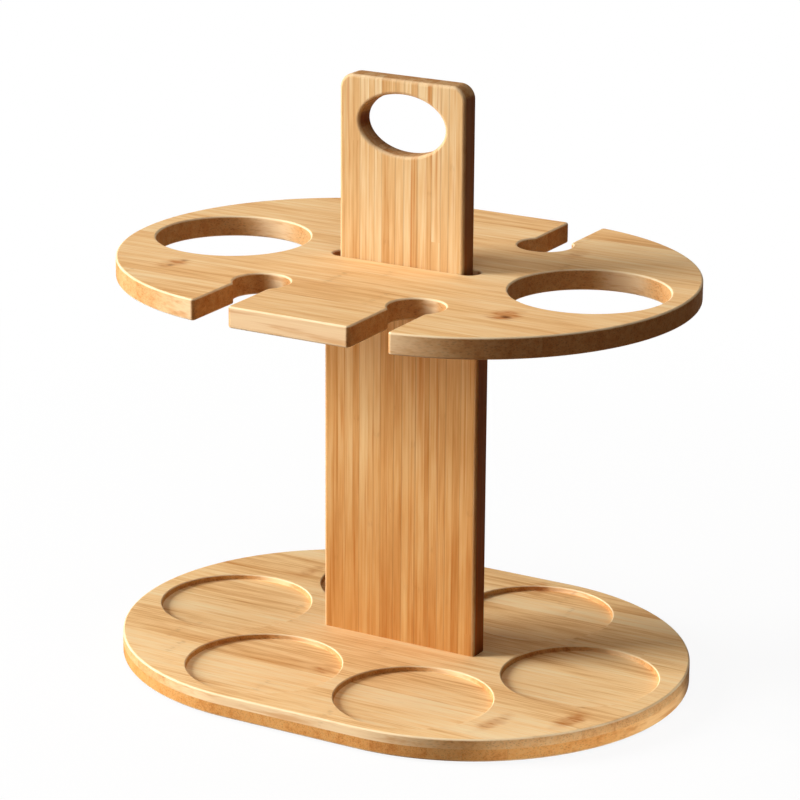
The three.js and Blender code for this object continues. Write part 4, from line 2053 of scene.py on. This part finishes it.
@dataclass(frozen=True)
class Softbox:
    """A soft lamp that looks at the caddy.

    Attributes:
        name: The lamp's name.
        place: Where it stands.
        width: How wide it is.
        height: How high it is.
        power: Its power in watts.
        target: What it looks at.
        mirrored: Whether it shows in glossy surfaces.
        spread: The whole angle that its light fills.
    """

    name: str
    place: Place
    width: float
    height: float
    power: float
    target: Place = (0.0, 0.0, 0.13)
    mirrored: bool = True
    spread: float = math.pi

    def light(self) -> None:
        """Adds the lamp and turns it to its target."""
        lamp = bpy.data.lights.new(self.name, "AREA")
        lamp.shape = "RECTANGLE"
        lamp.size, lamp.size_y = self.width, self.height
        lamp.energy = self.power
        lamp.spread = self.spread
        holder = bpy.data.objects.new(self.name, lamp)
        holder.location = self.place
        holder.visible_camera = False
        holder.visible_glossy = self.mirrored
        look = Vector(self.target) - Vector(self.place)
        holder.rotation_euler = look.to_track_quat("-Z", "Y").to_euler()
        bpy.context.scene.collection.objects.link(holder)
        LOG.info("lamp %s: %.4g W", self.name, self.power)


@dataclass
class Studio:
    """The floor, the light and the camera.

    Attributes:
        floor_size: The length of the floor's side.
        floor_pale: The floor's own grey to the eye.
        floor_bounce: The colour that it throws back on the caddy.
        floor_white: How much of the floor's white is the same in light and shadow, near the caddy.
        floor_near: How far from the middle that share starts to grow.
        floor_far: How far from the middle the floor is all white.
        sky: The strength of the even light from all round.
        sky_tint: The colour of that light.
        backdrop_full: The sine of the height up to which the backdrop is all white.
        backdrop_end: The sine of the height at which it ends.
        eye: Where the camera is.
        right: Where the picture's right points.
        up: Where the picture's top points.
        focal: The focal length in picture widths.
        sensor: The width of the camera's sensor, in millimetres.
        clip: The nearest and the farthest that the camera sees.
        softboxes: The lamps.
    """

    floor_size: float = 14.0
    floor_pale: float = 0.95
    floor_bounce: Colour = (0.17, 0.09, 0.043, 1.0)
    floor_white: float = 0.92
    floor_near: float = 0.25
    floor_far: float = 0.75
    sky: float = 0.045
    sky_tint: Colour = (1.0, 0.6, 0.33, 1.0)
    backdrop_full: float = 0.16
    backdrop_end: float = 0.34
    eye: Place = (0.8285, -1.46333, 0.68252)
    right: Place = (0.86831, 0.49597, 0.00668)
    up: Place = (-0.15524, 0.25894, 0.95334)
    focal: float = 4.12125
    sensor: float = 36.0
    clip: Range = (0.05, 60.0)
    softboxes: tuple[Softbox, ...] = (
        Softbox("key_softbox", (-3.9, -2.2, 2.25), 1.96, 1.96, 283.0),
        Softbox("front_softbox", (-2.2, -1.45, 0.3), 0.8, 0.8, 47.0, mirrored=False),
        Softbox("back_softbox", (-0.4, 1.5, 1.2), 0.9, 0.9, 4.0, mirrored=False),
        Softbox("top_softbox", (0.2, -0.55, 2.4), 1.2, 1.2, 17.0, mirrored=False),
        Softbox("edge_card", (0.2176, -0.0682, 0.006), 0.145, 0.012, 0.0069,
                (0.1509, -0.0465, 0.006), mirrored=False, spread=math.radians(24)),
    )

    @staticmethod
    def _shows(wiring: Wiring) -> Socket:
        """Finds the rays that the camera sees.

        Args:
            wiring: The tree's wiring.

        Returns:
            1 for rays that come straight, mirrored or through something clear, else 0.
        """
        ray = wiring.node("ShaderNodeLightPath").outputs
        seen = wiring.math("ADD", ray["Is Camera Ray"], ray["Is Glossy Ray"], clamp=True)
        return wiring.math("ADD", seen, ray["Is Transmission Ray"], clamp=True)

    def floor(self) -> None:
        """Lays the pale floor, which stays white to the eye and keeps the caddy's shadow."""
        half = self.floor_size / 2
        corners = [(-half, -half, 0), (half, -half, 0), (half, half, 0), (-half, half, 0)]
        mesh = bpy.data.meshes.new("studio_floor")
        mesh.from_pydata(corners, [], [(0, 1, 2, 3)])
        material, wiring, _ = blank_material("studio_floor_white")
        material.node_tree.nodes.clear()
        seen = self._shows(wiring)
        grey = wiring.blend(seen, self.floor_bounce, (self.floor_pale,) * 3 + (1.0,))
        matt = wiring.node("ShaderNodeBsdfDiffuse", {"Color": grey}).outputs[0]
        white = wiring.node("ShaderNodeEmission", {"Color": WHITE, "Strength": 1.0}).outputs[0]
        away = wiring.length(wiring.node("ShaderNodeTexCoord").outputs["Object"])
        even = wiring.ramp(away, self.floor_near, self.floor_far, self.floor_white, 1.0)
        share = wiring.product(seen, even)
        mixed = wiring.node("ShaderNodeMixShader", {0: share, 1: matt, 2: white}).outputs[0]
        wiring.node("ShaderNodeOutputMaterial", {"Surface": mixed})
        mesh.materials.append(material)
        floor = bpy.data.objects.new("studio_floor", mesh)
        bpy.context.scene.collection.objects.link(floor)

    def world(self) -> None:
        """Sets an even light from all round, with a white backdrop that shows round the horizon."""
        world = bpy.data.worlds.new("studio_world")
        world.use_nodes = True
        wiring = Wiring(world.node_tree)
        world.node_tree.nodes.clear()
        way = wiring.split(wiring.node("ShaderNodeTexCoord").outputs["Generated"])
        backdrop = wiring.fade(wiring.math("ABSOLUTE", way[2]), self.backdrop_full, self.backdrop_end)
        shown = wiring.product(self._shows(wiring), backdrop)
        tint = wiring.blend(shown, self.sky_tint, WHITE)
        light = wiring.node("ShaderNodeBackground", {
            "Color": tint, "Strength": wiring.between(shown, self.sky, 1.0)}).outputs[0]
        wiring.node("ShaderNodeOutputWorld", {"Surface": light})
        bpy.context.scene.world = world

    def camera(self) -> None:
        """Sets the camera at the photograph's place."""
        data = bpy.data.cameras.new("studio_camera")
        data.sensor_width = self.sensor
        data.lens = self.focal * data.sensor_width
        data.clip_start, data.clip_end = self.clip
        camera = bpy.data.objects.new("studio_camera", data)
        right, up = Vector(self.right).normalized(), Vector(self.up)
        back = right.cross(up).normalized()
        up = back.cross(right)
        turn = Matrix((right, up, back)).transposed().to_4x4()
        camera.matrix_world = Matrix.Translation(self.eye) @ turn
        bpy.context.scene.collection.objects.link(camera)
        bpy.context.scene.camera = camera

    def set_up(self) -> None:
        """Lays the floor, lights the set and places the camera."""
        bpy.context.scene.view_settings.view_transform = "Standard"
        self.floor()
        self.world()
        for softbox in self.softboxes:
            softbox.light()
        self.camera()


def main() -> None:
    """Builds every piece in order, then the studio round them."""
    logging.basicConfig(level=logging.INFO, format="%(name)s: %(message)s")
    effects = SurfaceEffects()
    makers: Sequence[Callable[[SurfaceEffects], bpy.types.Object]] = (
        BaseBoard().dress, CentrePost().dress, TopBoard().dress, PostScrews().dress, FootPads().dress)
    for make in makers:
        piece = make(effects)
        LOG.info("%s is done", piece.name)
    Studio().set_up()


if __name__ == "__main__":
    main()
